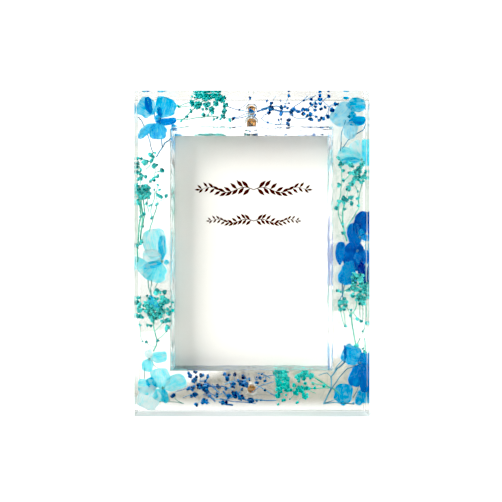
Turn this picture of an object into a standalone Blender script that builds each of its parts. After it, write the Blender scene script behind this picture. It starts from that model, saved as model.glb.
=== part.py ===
"""A standing photo frame of clear cast resin, with dyed dried flowers set in its four bars.

The front block is a thick rectangular ring. It is parted in two halves round a pocket, where
the florets and sprays lie at three depths. Behind it a clear back plate, held by small
magnets, grips a paper insert that shows through the window.

The frame stands on its bottom edge and faces -Y, with the origin under its middle. Lengths
are in metres. Places on the flowers are given in millimetres, across from the frame's middle
and up from its base.
"""

import math
import random

import bmesh
import bpy
from mathutils import Vector

# Driving dimensions
MM = 0.001
WIDTH = 138 * MM
HEIGHT = 191 * MM
DEPTH = 25 * MM
BLOCK_DEPTH = 19.7 * MM
PLATE_DEPTH = 4.4 * MM
SIDE_BAR = 21.5 * MM
TOP_BAR = 21 * MM
BOTTOM_BAR = 27 * MM
EDGE_ROUNDING = 0.7 * MM
GAP = 0.3 * MM

# The pocket for the flowers, as depths behind the front face
PARTING_DEPTH = 9 * MM
POCKET_NEAR = 5 * MM
POCKET_FAR = 13 * MM
POCKET_SKIN = 1 * MM

# The insert
CARD_WIDTH = 100 * MM
CARD_HEIGHT = 148 * MM
CARD_DEPTH = 0.3 * MM

# Magnets: height up the frame, radius of the magnet, radius of its bore
MAGNETS = {
    "top_upper": (183.7 * MM, 2.2 * MM, 3.6 * MM),
    "top_lower": (175.3 * MM, 2.9 * MM, 4.3 * MM),
    "bottom": (13.7 * MM, 2.4 * MM, 3.6 * MM),
}
MAGNET_DEPTH = 2.8 * MM
BORE_DEPTH = 3.4 * MM

# Flowers
LAYER_DEPTH = {"front": 6.5 * MM, "middle": 9 * MM, "back": 11.5 * MM}
PETAL_THICKNESS = 1 * MM
PETAL_SIDES = 8
HEART_RADIUS = 1.7 * MM
STALK_RADIUS = 0.35 * MM
STEM_RADIUS = 0.35 * MM
TWIG_RADIUS = 0.25 * MM
BUD_RADIUS = 0.95 * MM
CLUMP_THICKNESS = 1 * MM

FRONT_Y = -DEPTH / 2
BLOCK_BACK_Y = FRONT_Y + BLOCK_DEPTH
PLATE_FRONT_Y = DEPTH / 2 - PLATE_DEPTH
CARD_FRONT_Y = BLOCK_BACK_Y + GAP
WINDOW_MIDDLE_Z = (BOTTOM_BAR + HEIGHT - TOP_BAR) / 2

# Linear colour, roughness, metallic
FINISHES = {
    "clear_resin": ((0.86, 0.90, 0.88), 0.05, 0),
    "clear_acrylic": ((0.90, 0.92, 0.92), 0.05, 0),
    "paper": ((0.90, 0.90, 0.89), 0.7, 0),
    "copper": ((0.62, 0.30, 0.13), 0.3, 1),
    "nickel": ((0.60, 0.58, 0.54), 0.3, 1),
    "azure": ((0.01, 0.44, 0.86), 0.5, 0),
    "royal_blue": ((0.004, 0.10, 0.55), 0.5, 0),
    "pale_cyan": ((0.25, 0.80, 0.88), 0.5, 0),
    "teal": ((0.01, 0.42, 0.40), 0.6, 0),
    "navy": ((0.008, 0.04, 0.20), 0.6, 0),
}

# A floret: colour, layer, heart, petals as (tip, width), and stalks as lines of points
FLORETS = {
    "floret_blue_top_left": (
        "azure",
        "middle",
        (-57, 176),
        [((-50, 188.5), 11.5), ((-67.5, 186), 11), ((-45.5, 175.5), 4.5),
         ((-67.5, 165), 4.5), ((-53.5, 164.5), 9)],
        [[(-66, 180.5), (-66, 177), (-63, 169.5), (-59, 156)],
         [(-49.6, 175), (-49.6, 166), (-52.5, 162.5), (-58, 153.5)]],
    ),
    "floret_pale_top_right": (
        "pale_cyan",
        "middle",
        (56.5, 180.5),
        [((48.5, 174), 7.5), ((67.5, 186.5), 7.5), ((67.5, 176), 5), ((58, 165), 8),
         ((56.5, 189.5), 3)],
        [[(56.5, 178), (53.5, 166.5), (53.5, 159)],
         [(67, 175.5), (67.5, 173), (66, 168.5), (54, 160)]],
    ),
    "floret_pale_right_upper": (
        "pale_cyan",
        "back",
        (66, 152.5),
        [((53, 156.5), 9), ((62.5, 164), 8.5), ((67.5, 148), 4.5)],
        [],
    ),
    "floret_pale_left_middle": (
        "pale_cyan",
        "middle",
        (-57, 93.5),
        [((-58.5, 110), 14), ((-65.5, 105), 6.5), ((-59.5, 79.5), 11.5), ((-67.5, 86), 11.5)],
        [[(-62.5, 82), (-61, 73), (-59.5, 68)], [(-57, 82), (-59.5, 68)]],
    ),
    "floret_royal_right_upper": (
        "royal_blue",
        "middle",
        (64, 105.5),
        [((66.5, 120), 8.5), ((58, 111), 10), ((67.5, 103), 6)],
        [[(67, 104), (67.5, 95), (67.5, 80)]],
    ),
    "floret_royal_right_lower": (
        "royal_blue",
        "back",
        (59, 94.5),
        [((67.5, 94), 15), ((52, 100.5), 5.5), ((55, 78), 9)],
        [[(55, 80), (53.5, 68)]],
    ),
    "floret_pale_bottom_left": (
        "pale_cyan",
        "middle",
        (-54.5, 15.5),
        [((-56, 26), 11), ((-40, 20), 8.5), ((-67.5, 18.5), 7), ((-65.5, 4.5), 12),
         ((-51, 7), 6.5)],
        [[(-52.5, 9.5), (-49, 7.5), (-40.5, 6)]],
    ),
    "floret_pale_left_lower": (
        "pale_cyan",
        "back",
        (-62.5, 33),
        [((-52, 34.5), 5), ((-63.5, 25.5), 5.5)],
        [[(-62.5, 33), (-64.5, 26), (-64.5, 21)]],
    ),
    "floret_azure_bottom_right": (
        "azure",
        "middle",
        (64, 30),
        [((56, 39.5), 12), ((60, 16.5), 8.5), ((67.5, 35), 5.5), ((66, 13), 6)],
        [[(64, 30), (55, 25.5), (50, 18.5), (47.5, 14)],
         [(56.5, 32), (50, 25.5), (47.5, 22), (47.5, 15.5), (42.5, 6)]],
    ),
    "floret_azure_foot": (
        "azure",
        "back",
        (62, 6),
        [((55, 17), 10), ((67.5, 13.5), 7)],
        [[(62, 6), (51.5, 6.5), (43, 5.5)]],
    ),
}

# A spray: colour, layer, root, forks of its stems, ends of its twigs, and clumps of buds, each
# with the half width and half height of the clump
SPRAYS = {
    "spray_teal_top_left": (
        "teal",
        "front",
        (-44.5, 175.5),
        [(-38.5, 177), (-35.5, 181), (-28.5, 178), (-23.5, 183), (-16.5, 179)],
        [(-44, 183.5), (-36.5, 185.5), (-20, 176), (-12.5, 175)],
        [(-32.5, 185.5, 3.5, 4), (-26.5, 186.5, 3.2, 2.8), (-21, 186, 3, 3),
         (-16, 184, 2, 3)],
    ),
    "spray_navy_top": (
        "navy",
        "front",
        (2.5, 180),
        [(8.5, 181.5), (14.5, 181), (21.5, 180.5), (28.5, 181), (41, 181)],
        [(9, 187), (22, 189.5), (15, 172.5), (22, 172.5), (35, 175.5), (46, 189), (50.5, 184.5),
         (45.5, 176.5), (-8, 181.5), (-1, 188.5)],
        [(18, 181.5, 3.5, 2), (36.5, 184.5, 3, 2.5)],
    ),
    "spray_teal_left_upper": (
        "teal",
        "front",
        (-67, 95.5),
        [(-66.3, 111), (-65.5, 127), (-58.5, 125), (-61.5, 142)],
        [(-60.5, 154.5), (-67, 152.5), (-53.5, 145.5), (-51, 130), (-55, 135), (-60, 116.5)],
        [(-65, 132.5, 3, 4), (-58.5, 148.5, 2.2, 3.5), (-65, 144.5, 2, 3.5)],
    ),
    "spray_teal_left_lower": (
        "teal",
        "front",
        (-58.5, 37.5),
        [(-57, 49), (-60, 59), (-54.5, 62.5)],
        [(-56.5, 74.5), (-51.5, 73), (-67.3, 70), (-67, 57), (-50, 51), (-62, 46)],
        [(-62.5, 65, 2.6, 2.8), (-59.5, 59, 2.4, 3), (-54, 64, 2.4, 4.5)],
    ),
    "spray_navy_bottom": (
        "navy",
        "front",
        (12.5, 19.5),
        [(4, 14), (-9.5, 10.5), (-23.5, 15.5), (-32, 18)],
        [(-37.5, 25), (-37.5, 15), (-46.5, 12), (-33, 5.5), (-16, 25), (-1, 22), (5.5, 24.5),
         (17.5, 8.5)],
        [(-29, 16, 3.5, 2.6), (-27, 7, 3, 2.4), (-14, 6, 4.5, 1.7), (-9, 18, 4, 3),
         (-2.5, 9, 4, 2)],
    ),
    "spray_teal_bottom": (
        "teal",
        "back",
        (49.5, 14.5),
        [(42.5, 18), (35, 15.5), (24.5, 16.5)],
        [(35.5, 23), (28, 6), (16, 5.5), (42, 13)],
        [(15.8, 20, 2.2, 5), (21.5, 19.5, 3.2, 5.5), (31, 21.5, 3, 3.4), (30.5, 13.5, 3.4, 3.2)],
    ),
    "spray_teal_right_upper": (
        "teal",
        "front",
        (56, 105),
        [(52.5, 120), (60, 121), (58.5, 133)],
        [(53, 149.5), (58, 149), (67.3, 141.5), (51, 136.5), (50.5, 121)],
        [(63.5, 146, 3.5, 4), (61.5, 138.5, 4, 3.2), (54.5, 127, 3, 2.2)],
    ),
    "spray_teal_right_lower": (
        "teal",
        "front",
        (61.5, 41.5),
        [(59.3, 58.5), (62, 66), (65, 47)],
        [(51.5, 74), (50.5, 64), (67.3, 54.5), (57.5, 75)],
        [(62.5, 81, 3.6, 4), (63, 74.5, 4.4, 3.6), (64.5, 68.5, 3, 3), (55, 65, 2.4, 3)],
    ),
}


def collection(name):
    """A new collection in the scene."""
    made = bpy.data.collections.new(name)
    bpy.context.scene.collection.children.link(made)
    return made


def material(name):
    """The named finish, as a Principled material."""
    made = bpy.data.materials.get(name)
    if made is None:
        colour, roughness, metallic = FINISHES[name]
        made = bpy.data.materials.new(name)
        made.use_nodes = True
        made.diffuse_color = (*colour, 1)
        shader = made.node_tree.nodes["Principled BSDF"]
        shader.inputs["Base Color"].default_value = (*colour, 1)
        shader.inputs["Roughness"].default_value = roughness
        shader.inputs["Metallic"].default_value = metallic
    return made


def add_object(name, mesh, home, finish=None):
    """An object for a mesh, in one collection."""
    made = bpy.data.objects.new(name, mesh)
    home.objects.link(made)
    if finish:
        mesh.materials.clear()
        mesh.materials.append(material(finish))
    return made


def add_bmesh(name, shape, home, finish=None):
    """An object for a bmesh, which is freed."""
    mesh = bpy.data.meshes.new(name)
    bmesh.ops.recalc_face_normals(shape, faces=shape.faces)
    shape.to_mesh(mesh)
    shape.free()
    return add_object(name, mesh, home, finish)


def evaluated(source, name):
    """The object's shape with its modifiers applied and its place in the mesh."""
    bpy.context.view_layer.update()
    graph = bpy.context.evaluated_depsgraph_get()
    mesh = bpy.data.meshes.new_from_object(source.evaluated_get(graph))
    mesh.name = name
    mesh.transform(source.matrix_world)
    return mesh


def welded(mesh):
    """The mesh with the loose caps of its curve joined to the sides."""
    shape = bmesh.new()
    shape.from_mesh(mesh)
    bmesh.ops.remove_doubles(shape, verts=shape.verts, dist=0.00001)
    bmesh.ops.recalc_face_normals(shape, faces=shape.faces)
    shape.to_mesh(mesh)
    shape.free()
    return mesh


def keep_in_front_of(plane_y):
    """Says of an edge that it doesn't lie in the plane at this Y."""
    return lambda edge: not all(abs(v.co.y - plane_y) < GAP / 10 for v in edge.verts)


def rectangle(inset, window=False):
    """Corners of the frame's outline, or of its window, moved in by the inset."""
    if window:
        left, low, top = -WIDTH / 2 + SIDE_BAR, BOTTOM_BAR, HEIGHT - TOP_BAR
    else:
        left, low, top = -WIDTH / 2, 0, HEIGHT
    left, low, top = left + inset, low + inset, top - inset
    return [(left, low), (-left, low), (-left, top), (left, top)]


def slab(name, outlines, near_y, far_y, home, finish=None, rounded=None):
    """A plate with these outlines, the first its rim and the rest its openings."""
    curve = bpy.data.curves.new(name, "CURVE")
    curve.dimensions = "2D"
    curve.fill_mode = "BOTH"
    curve.extrude = (far_y - near_y) / 2
    for outline in outlines:
        spline = curve.splines.new("POLY")
        spline.points.add(len(outline) - 1)
        for point, (x, z) in zip(spline.points, outline):
            point.co = (x, z, 0, 1)
        spline.use_cyclic_u = True
    guide = bpy.data.objects.new(name + "_outline", curve)
    home.objects.link(guide)
    guide.rotation_euler = (math.pi / 2, 0, 0)
    guide.location = (0, (near_y + far_y) / 2, 0)
    mesh = welded(evaluated(guide, name))
    bpy.data.objects.remove(guide)
    shape = bmesh.new()
    shape.from_mesh(mesh)
    bmesh.ops.dissolve_limit(shape, angle_limit=0.01, verts=shape.verts, edges=shape.edges)
    if rounded:
        sharp = [e for e in shape.edges if e.calc_face_angle(0) > 1 and rounded(e)]
        bmesh.ops.bevel(shape, geom=sharp, offset=EDGE_ROUNDING, segments=2, profile=0.5,
                        affect="EDGES")
    shape.to_mesh(mesh)
    shape.free()
    return add_object(name, mesh, home, finish)


def disc(name, middle_z, radius, near_y, far_y, home, finish=None, sides=16):
    """A short cylinder on a line along Y, over the frame's middle."""
    shape = bmesh.new()
    bmesh.ops.create_cone(shape, cap_ends=True, segments=sides, radius1=radius, radius2=radius,
                          depth=far_y - near_y)
    made = add_bmesh(name, shape, home, finish)
    made.rotation_euler = (math.pi / 2, 0, 0)
    made.location = (0, (near_y + far_y) / 2, middle_z)
    made.data.shade_smooth()
    made.data.set_sharp_from_angle(angle=math.radians(40))
    return made


def cut(target, cutter):
    """Cuts one object from another with a Boolean modifier."""
    cutter.hide_render = True
    cutter.display_type = "WIRE"
    modifier = target.modifiers.new("cut_" + cutter.name, "BOOLEAN")
    modifier.operation = "DIFFERENCE"
    modifier.object = cutter


def resin_block(parts, cutters):
    """The two halves of the clear ring, with the pocket between them."""
    parting_y = FRONT_Y + PARTING_DEPTH
    pocket = slab("pocket", [rectangle(POCKET_SKIN), rectangle(-POCKET_SKIN, window=True)],
                  FRONT_Y + POCKET_NEAR, FRONT_Y + POCKET_FAR, cutters)
    outlines = [rectangle(0), rectangle(0, window=True)]
    front = slab("resin_front_half", outlines, FRONT_Y, parting_y - GAP / 2, parts,
                 "clear_resin", keep_in_front_of(parting_y - GAP / 2))
    rear = slab("resin_rear_half", outlines, parting_y + GAP / 2, BLOCK_BACK_Y, parts,
                "clear_resin", keep_in_front_of(parting_y + GAP / 2))
    cut(front, pocket)
    cut(rear, pocket)
    return rear


def back_plate(parts):
    """The clear plate behind the block."""
    return slab("back_plate", [rectangle(0)], PLATE_FRONT_Y, DEPTH / 2, parts,
                "clear_acrylic", lambda edge: True)


def insert_card(parts):
    """The paper insert, centred behind the window."""
    half, low = CARD_WIDTH / 2, WINDOW_MIDDLE_Z - CARD_HEIGHT / 2
    outline = [(-half, low), (half, low), (half, low + CARD_HEIGHT), (-half, low + CARD_HEIGHT)]
    slab("insert_card", [outline], CARD_FRONT_Y, CARD_FRONT_Y + CARD_DEPTH, parts, "paper")


def magnets(block, plate, parts, cutters):
    """Pairs of magnets, each in a blind bore: one of a pair in the block, one in the plate."""
    overcut = 1 * MM
    for place, (height, radius, bore) in MAGNETS.items():
        near_y = BLOCK_BACK_Y - BORE_DEPTH
        cut(block, disc(f"block_bore_{place}", height, bore, near_y, BLOCK_BACK_Y + overcut,
                        cutters))
        disc(f"block_magnet_{place}", height, radius, near_y + GAP,
             near_y + GAP + MAGNET_DEPTH, parts, "copper")
        cut(plate, disc(f"plate_bore_{place}", height, bore, PLATE_FRONT_Y - overcut,
                        PLATE_FRONT_Y + BORE_DEPTH, cutters))
        disc(f"plate_magnet_{place}", height, radius, PLATE_FRONT_Y + GAP,
             PLATE_FRONT_Y + GAP + MAGNET_DEPTH, parts, "nickel")


def bead(middle, radii, segments=6, rings=4):
    """A low-sided ball as a bmesh, with its own radius along each axis."""
    shape = bmesh.new()
    bmesh.ops.create_uvsphere(shape, u_segments=segments, v_segments=rings, radius=1)
    for vert in shape.verts:
        vert.co = Vector(middle) + Vector(c * r for c, r in zip(vert.co, radii))
    return shape


def petal(base, tip, width, thickness):
    """One flat petal as a bmesh, broadest past its middle and thinner at its rim."""
    along = tip - base
    across = Vector((-along.z, 0, along.x)).normalized() * width
    shape = bead((0, 0, 0), (1, 1, 1), PETAL_SIDES, 3)
    rim = max(vert.co.xy.length for vert in shape.verts)
    for vert in shape.verts:
        reach = (1 + vert.co.x / rim) / 2
        spread = vert.co.y / rim * (0.36 + 0.24 * reach)
        depth = Vector((0, vert.co.z * thickness / 2, 0))
        vert.co = base + along * reach + across * spread + depth
    return shape


def rod(points, radii, home, turn=0):
    """A four-sided stem through these points, as a closed bmesh."""
    curve = bpy.data.curves.new("rod", "CURVE")
    curve.dimensions = "3D"
    curve.bevel_depth = 1
    curve.bevel_resolution = 0
    curve.use_fill_caps = True
    spline = curve.splines.new("POLY")
    spline.points.add(len(points) - 1)
    for point, place, radius in zip(spline.points, points, radii):
        point.co = (*place, 1)
        point.radius = radius
        point.tilt = turn
    guide = bpy.data.objects.new("rod_guide", curve)
    home.objects.link(guide)
    mesh = welded(evaluated(guide, "rod"))
    bpy.data.objects.remove(guide)
    shape = bmesh.new()
    shape.from_mesh(mesh)
    return shape


def twig(start, end, home, turn):
    """A thin stem that swells to a bud at its end."""
    way = (end - start).normalized()
    points = [start, end - 0.9 * BUD_RADIUS * way, end]
    return rod(points, (TWIG_RADIUS, BUD_RADIUS, 0.4 * BUD_RADIUS), home, turn)


def gathered(shapes):
    """The shapes in one bmesh, where they may still pass through each other."""
    whole = bmesh.new()
    for shape in shapes:
        mesh = bpy.data.meshes.new("gathered")
        bmesh.ops.recalc_face_normals(shape, faces=shape.faces)
        shape.to_mesh(mesh)
        shape.free()
        whole.from_mesh(mesh)
        bpy.data.meshes.remove(mesh)
    return whole


def fused(name, shapes, depth, home, cutters, finish, crossing=False):
    """The shapes made one solid, kept inside the pocket at their depth."""
    side = WIDTH / 2 - POCKET_SKIN - GAP
    low, high = POCKET_SKIN + GAP, HEIGHT - POCKET_SKIN - GAP
    pieces = []
    for number, shape in enumerate(shapes):
        for vert in shape.verts:
            vert.co.x = min(max(vert.co.x, -side), side)
            vert.co.z = min(max(vert.co.z, low), high)
        pieces.append(add_bmesh(f"{name}_{number}", shape, cutters))
    core = pieces[0]
    for piece in pieces[1:]:
        modifier = core.modifiers.new("fuse", "BOOLEAN")
        modifier.operation = "UNION"
        modifier.solver = "EXACT"
        modifier.use_self = crossing
        modifier.object = piece
    made = add_object(name, evaluated(core, name), home, finish)
    made.location.y = FRONT_Y + depth
    for piece in pieces:
        bpy.data.objects.remove(piece)


def floret(name, spec, parts, cutters):
    """A hydrangea floret: its petals, its heart and its stalks."""
    finish, layer, (heart_x, heart_z), petals, stalks = spec
    wander = random.Random(name)
    heart = Vector((heart_x, 0, heart_z)) * MM
    shapes = [bead(heart, (HEART_RADIUS, 0.6 * HEART_RADIUS, HEART_RADIUS), 6, 3)]
    for (tip_x, tip_z), width in petals:
        tip = Vector((tip_x, wander.uniform(-0.1, 0.1), tip_z)) * MM
        base = heart + (tip - heart).normalized() * HEART_RADIUS / 2
        thickness = PETAL_THICKNESS * wander.uniform(0.85, 1.15)
        shapes.append(petal(base, tip, width * MM, thickness))
    for stalk in stalks:
        points = [heart] + [Vector((x, wander.uniform(-0.1, 0.1), z)) * MM for x, z in stalk]
        shapes.append(rod(points, [STALK_RADIUS] * len(points), cutters, wander.random()))
    fused(name, shapes, LAYER_DEPTH[layer], parts, cutters, finish)


def nearest(place, places):
    """The closest of the places."""
    return min(places, key=lambda other: (other - place).length)


def spray(name, spec, parts, cutters):
    """A branching spray: stems from the root through the forks, twigs with buds, clumps."""
    finish, layer, root, forks, ends, clumps = spec
    wander = random.Random(name)

    def place(x, z):
        return Vector((x, wander.uniform(-0.12, 0.12), z)) * MM

    nodes = [place(*root)]
    core = bead(nodes[0], (2 * STEM_RADIUS,) * 3, 5, 3)
    shapes = []
    for x, z in forks:
        fork = place(x, z)
        radii = (STEM_RADIUS, 0.9 * STEM_RADIUS)
        shapes.append(rod([nearest(fork, nodes), fork], radii, cutters, wander.random()))
        nodes.append(fork)
    for x, z in ends:
        end = place(x, z)
        shapes.append(twig(nearest(end, nodes), end, cutters, wander.random()))
    for x, z, half_width, half_height in clumps:
        middle = place(x, z)
        radii = (STEM_RADIUS, STEM_RADIUS)
        shapes.append(rod([nearest(middle, nodes), middle], radii, cutters, wander.random()))
        shapes.append(bead(middle, (half_width * MM, CLUMP_THICKNESS, half_height * MM), 6, 3))
    shapes = [gathered(shapes), core]
    fused(name, shapes, LAYER_DEPTH[layer], parts, cutters, finish, crossing=True)


def main():
    """Clears the scene and builds the frame."""
    for old in list(bpy.data.objects):
        bpy.data.objects.remove(old)
    parts = collection("pressed_flower_frame")
    cutters = collection("cutters")
    block = resin_block(parts, cutters)
    plate = back_plate(parts)
    insert_card(parts)
    magnets(block, plate, parts, cutters)
    for name, spec in FLORETS.items():
        floret(name, spec, parts, cutters)
    for name, spec in SPRAYS.items():
        spray(name, spec, parts, cutters)


main()
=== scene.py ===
# %% [markdown]
# # A resin photo frame with pressed flowers
# This lesson dresses a small upright photo frame. The real one is two pieces of clear resin: a
# thick rectangular ring with dyed dried flowers cast into its four bars, and a thin back plate
# that small magnets hold on. A paper insert stands between them and shows through the window.
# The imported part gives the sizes, so the first step is to load it and keep its box.

import math
import random

import bmesh
import bpy
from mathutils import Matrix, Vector, noise


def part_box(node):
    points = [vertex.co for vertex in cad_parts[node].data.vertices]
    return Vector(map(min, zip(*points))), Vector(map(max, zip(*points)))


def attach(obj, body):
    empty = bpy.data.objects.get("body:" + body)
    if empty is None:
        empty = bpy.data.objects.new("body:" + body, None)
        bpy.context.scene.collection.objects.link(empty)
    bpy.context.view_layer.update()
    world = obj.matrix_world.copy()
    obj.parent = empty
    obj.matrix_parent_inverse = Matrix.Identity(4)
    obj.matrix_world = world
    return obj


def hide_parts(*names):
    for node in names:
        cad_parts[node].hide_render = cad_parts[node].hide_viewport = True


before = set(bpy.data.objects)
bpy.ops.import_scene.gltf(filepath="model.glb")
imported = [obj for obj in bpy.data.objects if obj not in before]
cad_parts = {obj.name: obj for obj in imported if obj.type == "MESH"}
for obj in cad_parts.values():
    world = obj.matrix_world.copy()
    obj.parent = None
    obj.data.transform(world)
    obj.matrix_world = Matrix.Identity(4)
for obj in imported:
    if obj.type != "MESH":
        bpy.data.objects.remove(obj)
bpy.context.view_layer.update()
print("The packed part holds", len(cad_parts), "nodes")

# %% [markdown]
# ## Shared sizes
# All lengths are in metres, and MM turns a millimetre into one. The frame faces -Y, so a depth
# behind its front face is added to FRONT_Y. The ring and the plate take their sizes from the
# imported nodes, which keeps the dressed model inside the part's own box.

# %% Sizes
MM = 0.001
front_low, front_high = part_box("resin_front_half")
FRONT_Y = front_low[1]
RING_BACK_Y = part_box("resin_rear_half")[1][1]
HALF_WIDTH = front_high[0]
HEIGHT = front_high[2]
WINDOW_LEFT = -47.5 * MM
WINDOW_LOW = 27 * MM
WINDOW_TOP = 170 * MM
BEVEL = 0.7 * MM
print("Ring", round(2 * HALF_WIDTH / MM), "x", round(HEIGHT / MM), "mm, depth",
      round((RING_BACK_Y - FRONT_Y) / MM, 1), "mm")

# %% [markdown]
# ## Small helpers
# Colours are picked as sRGB hex, as a paint program shows them, and Blender's shaders want linear
# light, so one function converts them. The next plugs values, colours or other nodes into a node,
# and the one after it adds a node to any tree. Patterns lie on a piece's own coordinates, which
# are in metres, so noise with a scale of 1000 has grains of about 1 mm. The other helpers start a
# material, put a mesh in the scene, and turn modifiers into plain mesh.


# %% Helpers for colours, nodes and pieces
def linear(hex_colour):
    """A linear RGBA colour from an sRGB hex value."""
    channels = [int(hex_colour[i:i + 2], 16) / 255 for i in (1, 3, 5)]
    return tuple(c / 12.92 if c <= 0.04045 else ((c + 0.055) / 1.055) ** 2.4
                 for c in channels) + (1,)


def plug(node, inputs):
    """Sets inputs, each to a value, a hex colour, a grey, an output or a node's first output."""
    for key, value in inputs.items():
        socket = node.inputs[key]
        if isinstance(value, bpy.types.Node):
            value = next(output for output in value.outputs if output.enabled)
        if isinstance(value, bpy.types.NodeSocket):
            node.id_data.links.new(value, socket)
            continue
        if isinstance(value, str) and value.startswith("#"):
            value = linear(value)
        elif isinstance(value, float) and socket.type == "RGBA":
            value = (value, value, value, 1)
        socket.default_value = value


def add(tree, kind, inputs=None, **settings):
    """Adds a node with these settings and inputs."""
    node = tree.nodes.new(kind)
    for name, value in settings.items():
        setattr(node, name, value)
    plug(node, inputs or {})
    return node


def new_finish(name, **sockets):
    """A material with these values on its Principled shader, its tree and its shader."""
    finish = bpy.data.materials.new(name)
    finish.use_nodes = True
    shader = finish.node_tree.nodes["Principled BSDF"]
    plug(shader, {key.replace("_", " "): value for key, value in sockets.items()})
    return finish, finish.node_tree, shader


def new_piece(name, mesh, *finishes):
    """An object for the mesh, with its place in the mesh."""
    piece = bpy.data.objects.new(name, mesh)
    bpy.context.scene.collection.objects.link(piece)
    for finish in finishes:
        mesh.materials.append(finish)
    return piece


def baked(piece):
    """Turns the piece's modifiers into a plain mesh."""
    graph = bpy.context.evaluated_depsgraph_get()
    graph.update()
    mesh = bpy.data.meshes.new_from_object(piece.evaluated_get(graph))
    mesh.name = piece.name
    piece.modifiers.clear()
    piece.data = mesh
    return piece


def thickened(piece, label, thickness):
    """Gives a sheet its thickness, half to each side, and bakes it."""
    solid = piece.modifiers.new(label, "SOLIDIFY")
    solid.thickness = thickness
    solid.offset = 0
    return baked(piece)


def mesh_of(shape, name):
    """The bmesh as a mesh with this name. The bmesh is freed."""
    mesh = bpy.data.meshes.new(name)
    shape.to_mesh(mesh)
    shape.free()
    return mesh


# %% [markdown]
# ## Clear cast resin
# The ring is polyester or epoxy resin, poured over the flowers in a mould and then polished. It
# is nearly colourless, with an IOR close to 1.5, and it bends light by its surface alone, so the
# look comes from real thickness, not from a picture. Long paths through it turn faintly green,
# which an absorption gives. The back plate is acrylic sheet, a little clearer.


# %% Resin and acrylic
def see_through(name, tint, density, **sockets):
    """A finish that light passes, its tree and its shader. Its tint deepens with depth."""
    finish, tree, shader = new_finish(name, **sockets)
    haze = add(tree, "ShaderNodeVolumeAbsorption", {"Color": tint, "Density": density})
    plug(tree.nodes["Material Output"], {"Volume": haze})
    return finish, tree, shader


POLISHED = {"Base_Color": "#FFFFFF", "Roughness": 0.0, "Transmission_Weight": 1.0}
resin, tree, shader = see_through("clear cast resin", "#D9F2EC", 2.0, IOR=1.5, **POLISHED)
# Casting leaves a faint ripple in the polish, about 6 mm from crest to crest
place = add(tree, "ShaderNodeTexCoord").outputs["Object"]
ripple = add(tree, "ShaderNodeTexNoise", {"Vector": place, "Scale": 160, "Detail": 1})
bump = add(tree, "ShaderNodeBump", {"Height": ripple, "Strength": 0.04, "Distance": 1 * MM})
plug(shader, {"Normal": bump})
acrylic = see_through("clear acrylic sheet", "#DDF2EE", 1.5, IOR=1.49, **POLISHED)[0]

# The base was sanded flat after casting, so it scatters what the polished faces would mirror.
# Its colour is painted light: dark teal at the left end, where light through the pale flowers
# would tint it, fading to pale grey-green towards the middle
base_resin, tree, shader = see_through("sanded resin base", "#D9F2EC", 2.0, IOR=1.5,
                                       Transmission_Weight=0.5)
place = add(tree, "ShaderNodeTexCoord").outputs["Object"]
along = add(tree, "ShaderNodeSeparateXYZ", {"Vector": place}).outputs["X"]
floret_light_fade = add(tree, "ShaderNodeMapRange", {"Value": along, "From Min": -45 * MM,
                                         "From Max": -10 * MM})
# Sanding marks of about 0.3 mm
marks = add(tree, "ShaderNodeTexNoise", {"Vector": place, "Scale": 3000})
matt = add(tree, "ShaderNodeMapRange", {"Value": marks, "To Min": 0.22, "To Max": 0.38})
# Painted light: dark teal at the base's left end, fading to pale grey-green
painted_floret_light = add(tree, "ShaderNodeMix", {"Factor": floret_light_fade, "A": "#0E6A60", "B": "#C0D8D0"},
             data_type="RGBA")
plug(shader, {"Base Color": painted_floret_light, "Roughness": matt})
print("Made", resin.name, "and", acrylic.name, "and", base_resin.name)

# %% [markdown]
# ## The ring
# The ring is an outline with a window in it, drawn out to its depth. The real window was cut or
# cast a little unevenly, and its edge wavers by a fraction of a millimetre, which is what makes
# the fine dark line round it look hand made. So the window's outline has a point every 2 mm, and
# smooth noise moves each one. A 2D curve fills the face, and a Bevel rounds the edges.


# %% Outlines
def side_points(start, end, spacing):
    """Points from start towards end, about this far apart, without the last one."""
    start, end = Vector(start), Vector(end)
    count = max(1, round((end - start).length / spacing))
    return [start.lerp(end, i / count) for i in range(count)]


def wavering(points, amount, scale, seed):
    """The points of an outline, each moved a little by smooth noise."""
    moved = []
    for point in points:
        at = Vector((point.x, point.y, seed * MM)) / scale
        shift = Vector((noise.noise(at), noise.noise(at + Vector((7, 3, 5)))))
        moved.append(point + 2 * amount * shift)
    return moved


def rectangle(left, low, right, top, spacing):
    """The outline of a rectangle, anticlockwise."""
    corners = [(left, low), (right, low), (right, top), (left, top)]
    points = []
    for start, end in zip(corners, corners[1:] + corners[:1]):
        points += side_points(start, end, spacing)
    return points


def drawn_out(name, outlines, near_y, far_y):
    """A mesh with these outlines, the first its rim and the rest its openings."""
    curve = bpy.data.curves.new(name, "CURVE")
    curve.dimensions = "2D"
    curve.fill_mode = "BOTH"
    curve.extrude = (far_y - near_y) / 2
    for outline in outlines:
        spline = curve.splines.new("POLY")
        spline.points.add(len(outline) - 1)
        for point, place in zip(spline.points, outline):
            point.co = (place[0], place[1], 0, 1)
        spline.use_cyclic_u = True
    guide = bpy.data.objects.new(name, curve)
    bpy.context.scene.collection.objects.link(guide)
    mesh = bpy.data.meshes.new_from_object(guide)
    bpy.data.objects.remove(guide)
    shape = bmesh.new()
    shape.from_mesh(mesh)
    for vert in shape.verts:
        across, up, out = vert.co
        vert.co = (across, (near_y + far_y) / 2 - out, up)
    bmesh.ops.remove_doubles(shape, verts=shape.verts, dist=0.00001)
    bmesh.ops.recalc_face_normals(shape, faces=shape.faces)
    shape.to_mesh(mesh)
    shape.free()
    return mesh


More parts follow.
